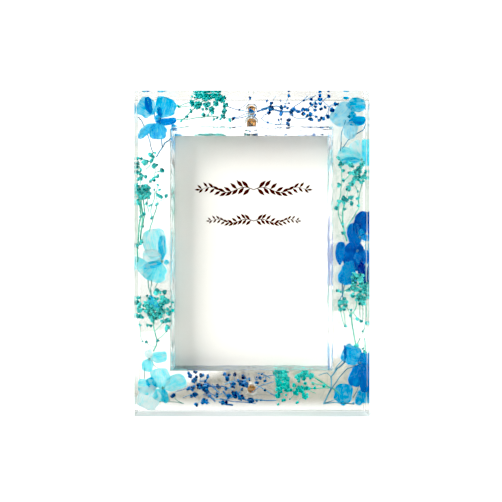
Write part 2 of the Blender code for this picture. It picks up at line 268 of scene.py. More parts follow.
WAVER, WAVE_LENGTH = 0.18 * MM, 5 * MM
window = rectangle(WINDOW_LEFT, WINDOW_LOW, -WINDOW_LEFT, WINDOW_TOP, 2 * MM)
window = wavering(window, WAVER, WAVE_LENGTH, 1)
rim = [(-HALF_WIDTH, 0), (HALF_WIDTH, 0), (HALF_WIDTH, HEIGHT), (-HALF_WIDTH, HEIGHT)]
ring_mesh = drawn_out("clear_ring", [rim, window], FRONT_Y, RING_BACK_Y)
print("The window's outline has", len(window), "points")

# %% [markdown]
# ## Bores for the magnets
# Three blind holes in the ring's back, and three in the plate's front, hold the magnets. Each is
# an empty round pocket a little wider than its magnet, and its wall shows in the clear resin as
# a pale ring with a grey edge. A Boolean cuts them, and the Bevel comes first so that it rounds
# only the outer edges.

# %% Cut the bores and finish both clear pieces
# Each bore's height above the frame's base, and its radius
BORES = {"top_upper": (183.7 * MM, 3.6 * MM), "top_lower": (175.3 * MM, 4.3 * MM),
         "bottom": (13.7 * MM, 3.6 * MM)}
BORE_DEPTH = 3.4 * MM
# A cutter reaches this far out of the face that it cuts
CLEARANCE = 1 * MM


def bore_cutter(height, radius, near_y, far_y):
    """A 48-sided cylinder along Y, to cut one bore."""
    shape = bmesh.new()
    bmesh.ops.create_cone(shape, cap_ends=True, segments=48, radius1=radius, radius2=radius,
                          depth=far_y - near_y)
    for vert in shape.verts:
        across, up, along = vert.co
        vert.co = (across, (near_y + far_y) / 2 - along, height + up)
    bmesh.ops.recalc_face_normals(shape, faces=shape.faces)
    return new_piece("bore", mesh_of(shape, "bore"))


def finish_clear(piece, bevel_width, near_y, far_y):
    """Bevels a clear piece, cuts its bores and keeps its flat faces flat in the shading."""
    bevel = piece.modifiers.new("rounded edges", "BEVEL")
    bevel.width = bevel_width
    bevel.segments = 3
    bevel.limit_method = "ANGLE"
    cutters = []
    for height, radius in BORES.values():
        cutters.append(bore_cutter(height, radius, near_y, far_y))
        cut = piece.modifiers.new("bore", "BOOLEAN")
        cut.operation = "DIFFERENCE"
        cut.object = cutters[-1]
    baked(piece)
    for cutter in cutters:
        bpy.data.objects.remove(cutter)
    piece.data.shade_smooth()
    piece.data.set_sharp_from_angle(angle=math.radians(50))
    weighted = piece.modifiers.new("flat faces", "WEIGHTED_NORMAL")
    weighted.keep_sharp = True
    baked(piece)
    print(piece.name, "has", len(piece.data.polygons), "faces")


ring = new_piece("clear_ring", ring_mesh, resin, base_resin)
finish_clear(ring, BEVEL, RING_BACK_Y - BORE_DEPTH, RING_BACK_Y + CLEARANCE)
for face in ring.data.polygons:
    if face.normal.z < -0.99 and face.center.z < 0.1 * MM:
        face.material_index = 1

plate_low, plate_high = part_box("back_plate")
plate_mesh = drawn_out("clear_back_plate", [rim], plate_low[1], plate_high[1])
plate = new_piece("clear_back_plate", plate_mesh, acrylic)
finish_clear(plate, 0.3 * BEVEL, plate_low[1] - CLEARANCE, plate_low[1] + BORE_DEPTH)

# %% [markdown]
# ## The insert
# The insert is a sheet of white card that shows in the window. Card isn't quite flat, so the
# sheet is 0.2 mm thick and bows inside the 0.3 mm that it has. Its fibres, about 0.2 mm across,
# only just break up the white. The mesh is a fine grid given its thickness by Solidify.

# %% Card
card_finish, tree, shader = new_finish("uncoated white card", Roughness=0.75)
place = add(tree, "ShaderNodeTexCoord").outputs["Object"]
fibres = add(tree, "ShaderNodeTexNoise", {"Vector": place, "Scale": 4000, "Detail": 3})
white = add(tree, "ShaderNodeMix", {"Factor": fibres, "A": "#E7E4DD", "B": "#F2F0EA"},
            data_type="RGBA")
bump = add(tree, "ShaderNodeBump", {"Height": fibres, "Strength": 0.15, "Distance": 0.05 * MM})
plug(shader, {"Base Color": white, "Normal": bump})

card_low, card_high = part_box("insert_card")


def on_card(across, up, proud=0.0):
    """The point of the card's middle layer here, or this far in front of it."""
    bow = 0.05 * MM * noise.noise(Vector((across, up, 0)) / (30 * MM))
    return Vector((across, (card_low[1] + card_high[1]) / 2 + bow - proud, up))


shape = bmesh.new()
bmesh.ops.create_grid(shape, x_segments=40, y_segments=60, size=0.5)
for vert in shape.verts:
    across, up = vert.co.x, vert.co.y
    vert.co = on_card(2 * across * card_high[0],
                      (card_low[2] + card_high[2]) / 2 + up * (card_high[2] - card_low[2]))
card = new_piece("insert_card_sheet", mesh_of(shape, "insert_card_sheet"), card_finish)
thickened(card, "card thickness", 0.2 * MM)
print("The card is", round(2 * card_high[0] / MM), "mm wide")

# %% [markdown]
# ## The print on the insert
# An insert carries a little plain print where the owner's photo will go. This one has two leafy
# sprigs in dark brown, each grown from its middle outwards along a gentle wave. The ink is
# screen-printed, so it lies on the card as a film a few hundredths of a millimetre thick, dull
# and slightly uneven. Each leaf is one flat face, and Solidify gives the film its thickness.

# %% Printed sprigs
ink, tree, shader = new_finish("screen-printed ink", Roughness=0.7)
place = add(tree, "ShaderNodeTexCoord").outputs["Object"]
film = add(tree, "ShaderNodeTexNoise", {"Vector": place, "Scale": 2000})
brown = add(tree, "ShaderNodeMix", {"Factor": film, "A": "#2A1009", "B": "#5A3526"},
            data_type="RGBA")
plug(shader, {"Base Color": brown})
INK_PROUD = 0.12 * MM


def flat_face(shape, points):
    """One face of ink through these points of (across, up)."""
    face = shape.faces.new([shape.verts.new(on_card(x, z, INK_PROUD)) for x, z in points])
    face.normal_update()
    if face.normal.y > 0:
        face.normal_flip()


def leaf_outline(base, turn, length, width):
    """A pointed leaf from its base, as 12 points."""
    points = []
    for i in range(12):
        along = i / 6 if i <= 6 else (12 - i) / 6
        side = math.sin(math.pi * along) ** 1.3 * width / 2 * (1 if i < 6 else -1)
        points.append((base[0] + length * along * math.cos(turn) - side * math.sin(turn),
                       base[1] + length * along * math.sin(turn) + side * math.cos(turn)))
    return points


def half_sprig(shape, middle, reach, leaf, way):
    """Half of a sprig: a wavy stem that thins outwards, with leaves on both sides."""
    count = round(reach / (0.55 * leaf))

    def stem(t):
        return (middle[0] + way * reach * t,
                middle[1] + 0.25 * leaf * math.sin(1.5 * math.tau * t))

    steps = [stem(i / 24) for i in range(25)]
    for (x1, z1), (x2, z2), i in zip(steps, steps[1:], range(24)):
        thick, thin = (0.26 - 0.007 * i) * MM, (0.26 - 0.007 * (i + 1)) * MM
        flat_face(shape, [(x1, z1 - thick), (x2, z2 - thin), (x2, z2 + thin), (x1, z1 + thick)])
    for i in range(count):
        t = (i + 0.7) / count
        for side in (1, -1):
            turn = side * math.radians(38 + 10 * math.sin(9 * t))
            turn = turn if way > 0 else math.pi - turn
            size = leaf * (1.05 - 0.45 * t)
            flat_face(shape, leaf_outline(stem(t + side * 0.012), turn, size, 0.34 * size))
    tip = stem(1)
    flat_face(shape, leaf_outline(tip, 0 if way > 0 else math.pi, 0.6 * leaf, 0.2 * leaf))


SPRIGS = [((1.5 * MM, 136.5 * MM), 33 * MM, 6.4 * MM), ((1.5 * MM, 117 * MM), 27 * MM, 4.8 * MM)]
shape = bmesh.new()
for middle, reach, leaf in SPRIGS:
    half_sprig(shape, middle, reach, leaf, 1)
    half_sprig(shape, middle, reach, leaf, -1)
sprigs = new_piece("printed_sprigs", mesh_of(shape, "printed_sprigs"), ink)
thickened(sprigs, "ink film", 0.02 * MM)
print("The print has", len(sprigs.data.polygons), "faces")

# %% [markdown]
# ## Magnets
# Six small magnets hold the plate on. Their plating is thin copper or nickel, polished but
# finely scratched, so the finish is a metal with a little roughness that noise makes uneven.
# Each is turned from a profile with a rounded rim and a shallow dish in its face.

# %% Magnet finishes and shapes


def plating(name, light, dark, roughness):
    """A polished metal whose colour and gloss waver at about 0.4 mm."""
    finish, tree, shader = new_finish(name, Metallic=1.0)
    place = add(tree, "ShaderNodeTexCoord").outputs["Object"]
    wear = add(tree, "ShaderNodeTexNoise", {"Vector": place, "Scale": 2500, "Detail": 3})
    tone = add(tree, "ShaderNodeMix", {"Factor": wear, "A": dark, "B": light}, data_type="RGBA")
    gloss = add(tree, "ShaderNodeMapRange", {"Value": wear, "To Min": roughness - 0.08,
                                             "To Max": roughness + 0.12})
    plug(shader, {"Base Color": tone, "Roughness": gloss})
    return finish


copper = plating("copper-plated steel", "#D29A50", "#8E5C26", 0.2)
nickel = plating("nickel-plated steel", "#C9C3BA", "#98928A", 0.25)


def turned(name, node, finish):
    """A round piece about a line along Y, with a rounded rim and a dished face."""
    low, high = (Vector(corner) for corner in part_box(node))
    radius, depth = (high.x - low.x) / 2, high.y - low.y
    profile = [(0, 0.2), (0.35, 0.17), (0.62, 0.05), (0.76, 0.0), (0.9, 0.0), (1, 0.1), (1, 0.92),
               (0.93, 1.0), (0, 1.0)]
    shape = bmesh.new()
    rings = []
    sides = 40
    for reach, along in profile:
        y = low.y + along * depth
        count = sides if reach else 1
        ring_verts = []
        for i in range(count):
            turn = math.tau * i / sides
            ring_verts.append(shape.verts.new((reach * radius * math.cos(turn), y,
                                               (low.z + high.z) / 2
                                               + reach * radius * math.sin(turn))))
        rings.append(ring_verts)
    for inner, outer in zip(rings, rings[1:]):
        for i in range(sides):
            corners = [inner[i % len(inner)], inner[(i + 1) % len(inner)],
                       outer[(i + 1) % len(outer)], outer[i % len(outer)]]
            shape.faces.new(list(dict.fromkeys(corners)))
    bmesh.ops.recalc_face_normals(shape, faces=shape.faces)
    mesh = mesh_of(shape, name)
    mesh.shade_smooth()
    mesh.set_sharp_from_angle(angle=math.radians(40))
    return new_piece(name, mesh, finish)


magnets = {}
for spot in BORES:
    for side, finish in (("block", copper), ("plate", nickel)):
        node = f"{side}_magnet_{spot}"
        magnets[node] = turned(f"{side}_magnet_{spot}_turned", node, finish)
print("Turned", len(magnets), "magnets")

# %% [markdown]
# ## Dyed petals
# Hydrangea petals are pressed, dyed and dried. The dye gathers in the veins and at the rim and
# leaves paler patches between them, and the thin tissue lets light through from behind. Each
# petal carries its own UV map, along it and across it, so that the veins fan out from its base,
# and an attribute says how deep its dye is.

# %% Petal finishes


def petal_dye(name, light, main, deep, glow):
    """Dyed petal tissue: fine veins along the petal, mottling, and paler streaks."""
    finish, tree, shader = new_finish(name, Roughness=0.5, Transmission_Weight=glow, IOR=1.1,
                                      Specular_IOR_Level=0.3)
    place = add(tree, "ShaderNodeTexCoord").outputs
    # Blotches of dye about 3 mm across, and streaks that run along the petal
    mottle = add(tree, "ShaderNodeTexNoise", {"Vector": place["Object"], "Scale": 330,
                                              "Detail": 4, "Roughness": 0.6})
    stretched = add(tree, "ShaderNodeMapping", {"Vector": place["UV"], "Scale": (1.2, 7, 1)})
    streaks = add(tree, "ShaderNodeTexNoise", {"Vector": stretched, "Scale": 1.6, "Detail": 3,
                                               "Distortion": 0.6})
    # About 12 main veins cross a petal, a millimetre or less apart
    veins = add(tree, "ShaderNodeTexWave", {"Vector": place["UV"], "Scale": 4,
                                            "Distortion": 1.6, "Detail": 2, "Detail Scale": 1.5},
                bands_direction="Y").outputs["Fac"]
    amount = add(tree, "ShaderNodeAttribute", attribute_name="dye").outputs["Fac"]
    for pattern, low, high, least, most in ((veins, 0.6, 1.0, 0.0, 0.16),
                                            (mottle, 0.35, 0.65, -0.2, 0.2),
                                            (streaks, 0.3, 0.7, -0.25, 0.25)):
        change = add(tree, "ShaderNodeMapRange", {"Value": pattern, "From Min": low,
                                                  "From Max": high, "To Min": least,
                                                  "To Max": most})
        amount = add(tree, "ShaderNodeMath", {0: amount, 1: change}, operation="ADD")
    lower = add(tree, "ShaderNodeMapRange", {"Value": amount, "From Max": 0.5})
    upper = add(tree, "ShaderNodeMapRange", {"Value": amount, "From Min": 0.5, "From Max": 1.1})
    colour = light
    for factor, deeper in ((lower, main), (upper, deep)):
        colour = add(tree, "ShaderNodeMix", {"Factor": factor, "A": colour, "B": deeper},
                     data_type="RGBA")
    bump = add(tree, "ShaderNodeBump", {"Height": veins, "Strength": 0.3, "Distance": 0.1 * MM})
    plug(shader, {"Base Color": colour, "Normal": bump})
    return finish


DYES = {
    "sky": petal_dye("sky blue dyed petal", "#D0F8FF", "#50DCFF", "#109CEE", 0.5),
    "azure": petal_dye("azure dyed petal", "#BCF4FF", "#28CCFA", "#0088E0", 0.45),
    "royal": petal_dye("royal blue dyed petal", "#24BCF8", "#0284E4", "#003CA8", 0.35),
    "pale": petal_dye("pale cyan dyed petal", "#F0FFFF", "#80F6FF", "#20D4F8", 0.6),
}
print("Petal dyes:", ", ".join(DYES))


# %% [markdown]
# Dried stalks and buds are dyed with the petals. The stalks keep some of their own green-grey,
# and the buds of baby's breath take the dye unevenly, so each has its own shade, from nearly
# black to bright. A random attribute on each bud gives that.

# %% Stem and bud finishes


def plant_dye(name, dark, bright, roughness, scale):
    """A dyed dry stem or bud: the shade attribute picks between two dyes, noise mottles it."""
    finish, tree, shader = new_finish(name, Roughness=roughness, Specular_IOR_Level=0.3)
    place = add(tree, "ShaderNodeTexCoord").outputs["Object"]
    speckle = add(tree, "ShaderNodeTexNoise", {"Vector": place, "Scale": scale})
    spread = add(tree, "ShaderNodeMapRange", {"Value": speckle, "From Min": 0.3, "From Max": 0.7,
                                              "To Min": -0.3, "To Max": 0.3})
    shade = add(tree, "ShaderNodeAttribute", attribute_name="shade").outputs["Fac"]
    total = add(tree, "ShaderNodeMath", {0: shade, 1: spread}, operation="ADD", use_clamp=True)
    colour = add(tree, "ShaderNodeMix", {"Factor": total, "A": dark, "B": bright},
                 data_type="RGBA")
    bump = add(tree, "ShaderNodeBump", {"Height": speckle, "Strength": 0.4,
                                        "Distance": 0.2 * MM})
    plug(shader, {"Base Color": colour, "Normal": bump})
    return finish


STEMS = {dye: plant_dye(name, dark, bright, 0.6, 800) for dye, name, dark, bright in (
    ("teal", "mint dyed stem", "#48B49C", "#8CF0D4"),
    ("vivid", "turquoise dyed stem", "#34C8AC", "#84F4D8"),
    ("navy", "dark blue dyed stem", "#3470B8", "#78CCF8"),
    ("azure", "blue-grey dyed stalk", "#3A7C9C", "#6CC0DC"),
    ("pale", "grey-green dry stalk", "#6A9C90", "#A8D8D0"))}
BUDS = {dye: plant_dye(name, dark, bright, 0.65, 1500) for dye, name, dark, bright in (
    ("teal", "teal dyed bud", "#008080", "#60F8F0"),
    ("vivid", "turquoise dyed bud", "#06B0A8", "#40F8EC"),
    ("navy", "navy dyed bud", "#02164A", "#3494E8"))}
print("Stem and bud dyes:", len(STEMS) + len(BUDS))

# %% [markdown]
# ## Where the florets lie
# A hydrangea floret has a small heart and four or five petals, and a crumpled one shows a fold as
# one more. Each petal is its base and its tip, its width, its depth of dye, how far along it is
# widest, and how blunt it is: 2 gives an ellipse and 4 a rounded square. Each stalk is a thickness
# and a line of points. All are in millimetres across from the frame's middle and up from its
# base. The layer is the depth behind the front face, and a later petal lies in front.

# %% Floret table
LAYERS = {"front": 6.5, "middle": 9.0, "back": 11.5}
FLORETS = {
    "floret_blue_top_left": {
        "dye": "sky", "layer": "middle", "heart": (-55, 176.5),
        "petals": [((-58, 180), (-68, 185.5), 11.5, 0.3, 0.62, 4),
            ((-60.5, 179), (-62.5, 189.5), 4.5, 0.95, 0.55, 2.6),
            ((-54.5, 177), (-50.5, 189), 12.5, 0.5, 0.55, 3.6),
            ((-54.5, 177), (-55.5, 183.5), 2.5, 1.1, 0.5, 2.4),
            ((-55.5, 173), (-56.5, 178.5), 4, 0.6, 0.5, 2.4),
            ((-57, 174.5), (-45, 175.5), 4.5, 1.05, 0.5, 2.8),
            ((-57.5, 173.5), (-67.5, 164.5), 5.5, 0.45, 0.4, 2.2),
            ((-55.5, 174), (-56, 164), 10, 0.6, 0.6, 3.4),
            ((-48, 173), (-44.5, 170.5), 2.5, 0.6, 0.6, 2.4)],
        "stalks": [(0.3, [(-68, 177.5), (-66, 175.5), (-64.5, 172), (-62.5, 168.5), (-61, 163.5),
                (-59, 156)]), (0.35, [(-58, 180.5), (-58, 176)]),
            (0.45, [(-47.5, 175), (-48, 165), (-52, 162), (-54, 158.5), (-57, 153.5)]),
            (0.35, [(-54, 164.5), (-53.5, 159.5)])]},
    "floret_pale_top_right": {
        "dye": "sky", "layer": "middle", "heart": (58, 177.5),
        "petals": [((56.5, 188), (56.5, 189.5), 3.5, 0.45, 0.6, 2.6),
            ((60.5, 186.5), (48.5, 174), 11.5, 0.08, 0.58, 2.8),
            ((56.5, 184.5), (68, 185), 8, 0.35, 0.6, 2.8),
            ((58, 177), (62, 179.5), 4, 0.45, 0.6, 3),
            ((58, 175), (68, 176), 4.5, 0.75, 0.6, 2.4),
            ((57, 173.5), (67.5, 174.5), 4, 0.6, 0.55, 2.6),
            ((59.5, 175), (59, 164), 9, 0.05, 0.4, 2.1)],
        "stalks": [(0.3, [(56, 175.5), (54, 169), (53.5, 162.5), (53, 157)]),
            (0.32, [(68, 173), (66.5, 169.5), (61, 166), (57.5, 163.5), (54, 158.5)]),
            (0.22, [(67.5, 185), (68, 184.5), (68, 181.5)])]},
    "floret_pale_right_upper": {
        "dye": "pale", "layer": "back", "heart": (66, 152),
        "petals": [((66.5, 152), (52, 156.5), 10, 0.3, 0.62, 3),
            ((65.5, 152), (53.5, 151), 4, 0.8, 0.5, 2.6),
            ((66.5, 153.5), (61, 163), 8, 0.12, 0.7, 3.2),
            ((68, 148.5), (68, 164.5), 5, 0.6, 0.4, 4)],
        "stalks": []},
    "floret_pale_left_middle": {
        "dye": "pale", "layer": "middle", "heart": (-53.5, 91),
        "petals": [((-55, 90.5), (-59.5, 110.5), 14.5, 0.2, 0.6, 3),
            ((-53.5, 91.5), (-53.5, 106.5), 4.5, 0.9, 0.45, 3),
            ((-54, 94.5), (-65, 93.5), 9.5, -0.05, 0.6, 3),
            ((-55.5, 92), (-59.5, 79), 12.5, 0.45, 0.58, 3.4),
            ((-53.5, 90), (-64.5, 87.5), 4, 0.9, 0.5, 2.8),
            ((-62.5, 90.5), (-68, 85.5), 14.5, 0.3, 0.7, 5),
            ((-52.5, 90), (-49.5, 91), 3, 0.7, 0.5, 2.4),
            ((-61, 71), (-57.5, 61.5), 5.5, 0.95, 0.6, 2.6),
            ((-56.5, 62.5), (-53, 67), 4, 0.9, 0.55, 2.6)],
        "stalks": [(0.4, [(-62, 80), (-61.5, 75), (-60, 70)]),
            (0.35, [(-60, 80), (-60.5, 75), (-59.5, 68.5)]), (0.3, [(-55.5, 80), (-58, 75)])]},
    "floret_royal_right_upper": {
        "dye": "royal", "layer": "middle", "heart": (64.5, 105.5),
        "petals": [((64, 105.5), (68, 121), 9.5, 0.8, 0.5, 2.8),
            ((63, 99.5), (60.5, 114), 8, 0.5, 0.55, 3),
            ((64.5, 105.5), (68, 108), 8, 0.05, 0.62, 3.2)],
        "stalks": [(0.3, [(68, 102), (68, 96.5)]), (0.3, [(68, 90.5), (68, 85), (68, 79.5)])]},
    "floret_royal_right_lower": {
        "dye": "royal", "layer": "back", "heart": (63.5, 97.5),
        "petals": [((62.5, 105), (60.5, 85.5), 12, 0.7, 0.55, 3.6),
            ((63.5, 98), (68, 89.5), 9.5, 0.45, 0.62, 3.2),
            ((53, 89), (54, 103), 5.5, 0.45, 0.62, 3),
            ((60.5, 91.5), (54.5, 77.5), 8.5, 0.1, 0.6, 3.2),
            ((56.5, 91), (60.5, 77.5), 7, -0.05, 0.6, 3),
            ((65.5, 91), (67, 77.5), 5.5, 1.1, 0.5, 3)],
        "stalks": [(0.4, [(54.5, 78), (55, 68)]), (0.35, [(56, 77.5), (55, 71.5), (53, 68)])]},
    "floret_pale_bottom_left": {
        "dye": "pale", "layer": "middle", "heart": (-53, 15.5),
        "petals": [((-54, 15), (-55.5, 27), 12, 0.3, 0.6, 3.4),
            ((-52.5, 15), (-39.5, 20.5), 9.5, 0.35, 0.62, 2.8),
            ((-56.5, 16.5), (-68, 17), 9, 0.4, 0.6, 3.6),
            ((-58, 14.5), (-61.5, 21.5), 5.5, 0.9, 0.6, 3),
            ((-59, 17), (-64.5, 3.5), 14, -0.05, 0.6, 4),
            ((-53, 15.5), (-56, 8), 8.5, 0.55, 0.6, 3.2),
            ((-53, 15.5), (-51, 6.5), 4, 0.75, 0.6, 2.6)],
        "stalks": [(0.22, [(-61, 7.5), (-51, 7.5), (-45.5, 7), (-40.5, 6)]),
            (0.25, [(-51, 12), (-49, 7.5)]), (0.25, [(-46.5, 10), (-44, 7.5), (-41, 6)])]},
    "floret_pale_left_lower": {
        "dye": "pale", "layer": "back", "heart": (-61.5, 32.5),
        "petals": [((-61, 33.5), (-51, 34.5), 6.5, 0.4, 0.65, 3.4),
            ((-60.5, 33), (-62.5, 38), 5, -0.05, 0.6, 3),
            ((-61.5, 33), (-63, 25), 6.5, 0.45, 0.6, 3.6)],
        "stalks": [(0.3, [(-64.5, 27), (-64.5, 20.5)]),
            (0.3, [(-56.5, 43.5), (-57.5, 40.5), (-59, 37.5)]),
            (0.18, [(-60, 32), (-59, 29), (-55.5, 26.5)])]},
    "floret_azure_bottom_right": {
        "dye": "azure", "layer": "middle", "heart": (64.5, 30.5),
        "petals": [((66, 32), (54.5, 37.5), 11.5, 0.5, 0.55, 4),
            ((55.5, 31), (55.5, 41), 1.5, 1.1, 0.5, 2.4),
            ((65.5, 30), (60.5, 16.5), 8.5, 1, 0.6, 3),
            ((65.5, 25.5), (68, 36.5), 6.5, 0.9, 0.6, 3),
            ((66.5, 30), (67.5, 13), 6.5, 1.15, 0.6, 3.2)],
        "stalks": [(0.3, [(62.5, 29), (57, 27), (53, 22.5), (50, 18), (47, 13)]),
            (0.5, [(56, 31.5), (51, 27), (49.5, 24.5), (47.5, 22), (47.5, 15.5), (45.5, 11),
                (43, 6)]), (0.3, [(54.5, 32), (51, 28.5), (49.5, 25)]),
            (0.28, [(65, 18.5), (63, 13.5), (60.5, 9.5)]),
            (0.26, [(40, 23), (45, 24.5), (47.5, 22)])]},
    "floret_azure_foot": {
        "dye": "azure", "layer": "back", "heart": (61, 6),
        "petals": [((55, 4.5), (56.5, 17.5), 11, 0.5, 0.6, 3.2),
            ((68, 15.5), (63.5, 5), 5.5, 0.45, 0.65, 3),
            ((68, 16.5), (68, 6), 5, 0.35, 0.65, 3.4)],
        "stalks": [(0.35, [(60.5, 5.5), (53.5, 6), (49, 6.5), (43, 5.5)]),
            (0.3, [(52, 9.5), (48.5, 7.5), (43.5, 6)])]},
}
print("Florets:", len(FLORETS), "with", sum(len(f["petals"]) for f in FLORETS.values()), "petals")

# %% [markdown]
# ## Shaping a petal
# A petal is a sheet, so it starts as a grid of points along and across. Its width grows from a
# narrow claw and rounds off at the tip, its rim wavers, and pressing leaves a crease along the
# middle and soft folds. Points that would pass the resin's face stop short of it, as the real
# petals were trimmed there. Solidify gives the sheet its thickness.

# %% Petal sheets
ROWS, COLUMNS = 16, 12
SIDE_LIMIT = HALF_WIDTH - 0.25 * MM
LOW_LIMIT, HIGH_LIMIT = 0.8 * MM, HEIGHT - 0.3 * MM
# How far pressing leaves a sheet from flat
FOLD, CREASE, CUP = 0.45 * MM, 0.25 * MM, 0.3 * MM
# A floret's first petal lies this far behind its layer, and each next one a step nearer, in mm
FIRST_PETAL, PETAL_STEP = 0.6, 0.16
PETAL_THICKNESS = 0.12 * MM


def kept_inside(place):
    """The point, moved just inside the resin's outer faces."""
    place.x = min(max(place.x, -SIDE_LIMIT), SIDE_LIMIT)
    place.z = min(max(place.z, LOW_LIMIT), HIGH_LIMIT)
    return place


def petal_points(base, tip, width, widest, blunt, depth, wander):
    """Rows of points over one petal, from its claw to its tip."""
    along = tip - base
    across = Vector((-along.z, 0, along.x)).normalized()
    seed = Vector((wander.uniform(0, 99), wander.uniform(0, 99), 0))
    sway = wander.uniform(-0.06, 0.06) * along.length
    rows = []
    for i in range(ROWS + 1):
        reach = (1 - math.cos(math.pi * i / ROWS)) / 2
        claw = min(reach / 0.3, 1)
        from_widest = (reach - widest) / (1 - widest if reach > widest else widest)
        spread = max(1 - abs(from_widest) ** blunt, 0) ** (1 / blunt)
        spread *= 0.4 + 0.6 * claw * claw * (3 - 2 * claw)
        row = []
        for j in range(COLUMNS + 1):
            side = 2 * j / COLUMNS - 1
            rim = 1 + 0.16 * noise.noise(seed + Vector((5 * reach, 2 * math.copysign(1, side), 0)))
            bend = 0.5 * width * spread * rim * side
            place = base + along * reach + across * (bend + sway * math.sin(math.pi * reach))
            fold = FOLD * noise.noise(seed + Vector((3 * reach, 2.5 * side, 3)))
            crease = CREASE * math.exp(-(6 * side) ** 2)
            cup = CUP * (side * side - 0.4) * reach
            place.y = depth + fold + crease - cup
            row.append(kept_inside(place))
        rows.append(row)
    return rows


def sheet_of(shape, rows, dye, uv_layer, dye_layer):
    """Adds the rows to the bmesh as one sheet, with its UV map and its depth of dye."""
    verts = [[shape.verts.new(place) for place in row] for row in rows]
    for row in verts:
        for vert in row:
            vert[dye_layer] = dye
    for i in range(ROWS):
        for j in range(COLUMNS):
            corners = [(i, j), (i, j + 1), (i + 1, j + 1), (i + 1, j)]
            face = shape.faces.new([verts[a][b] for a, b in corners])
            face.smooth = True
            for loop, (a, b) in zip(face.loops, corners):
                loop[uv_layer].uv = (a / ROWS, b / COLUMNS)


def petals_of(name, floret):
    """One object with all petals of a floret, each a little nearer than the last."""
    wander = random.Random(name)
    shape = bmesh.new()
    uv_layer = shape.loops.layers.uv.new("UVMap")
    dye_layer = shape.verts.layers.float.new("dye")
    for number, (base, tip, width, dye, widest, blunt) in enumerate(floret["petals"]):
        depth = LAYERS[floret["layer"]] + FIRST_PETAL - PETAL_STEP * number
        base, tip = (Vector((x, 0, z)) * MM for x, z in (base, tip))
        rows = petal_points(base, tip, width * MM, widest, blunt, FRONT_Y + depth * MM, wander)
        sheet_of(shape, rows, dye, uv_layer, dye_layer)
    bmesh.ops.remove_doubles(shape, verts=shape.verts, dist=0.005 * MM)
    piece = new_piece(name + "_petals", mesh_of(shape, name + "_petals"), DYES[floret["dye"]])
    return thickened(piece, "petal thickness", PETAL_THICKNESS)


petals = {name: petals_of(name, floret) for name, floret in FLORETS.items()}
print("Petal faces:", sum(len(p.data.polygons) for p in petals.values()))

# %% [markdown]
# ## Sprays of baby's breath
# Baby's breath branches from a few main stems into twigs, each with a round bud at its end. A
# spray is given by its main stems, each a thickness and a line of points, by single buds with
# their radius, and by clumps, where the buds crowd together. Each clump is a centre with a half
# width and a half height, in millimetres as before, and the crowd says how densely buds fill it.

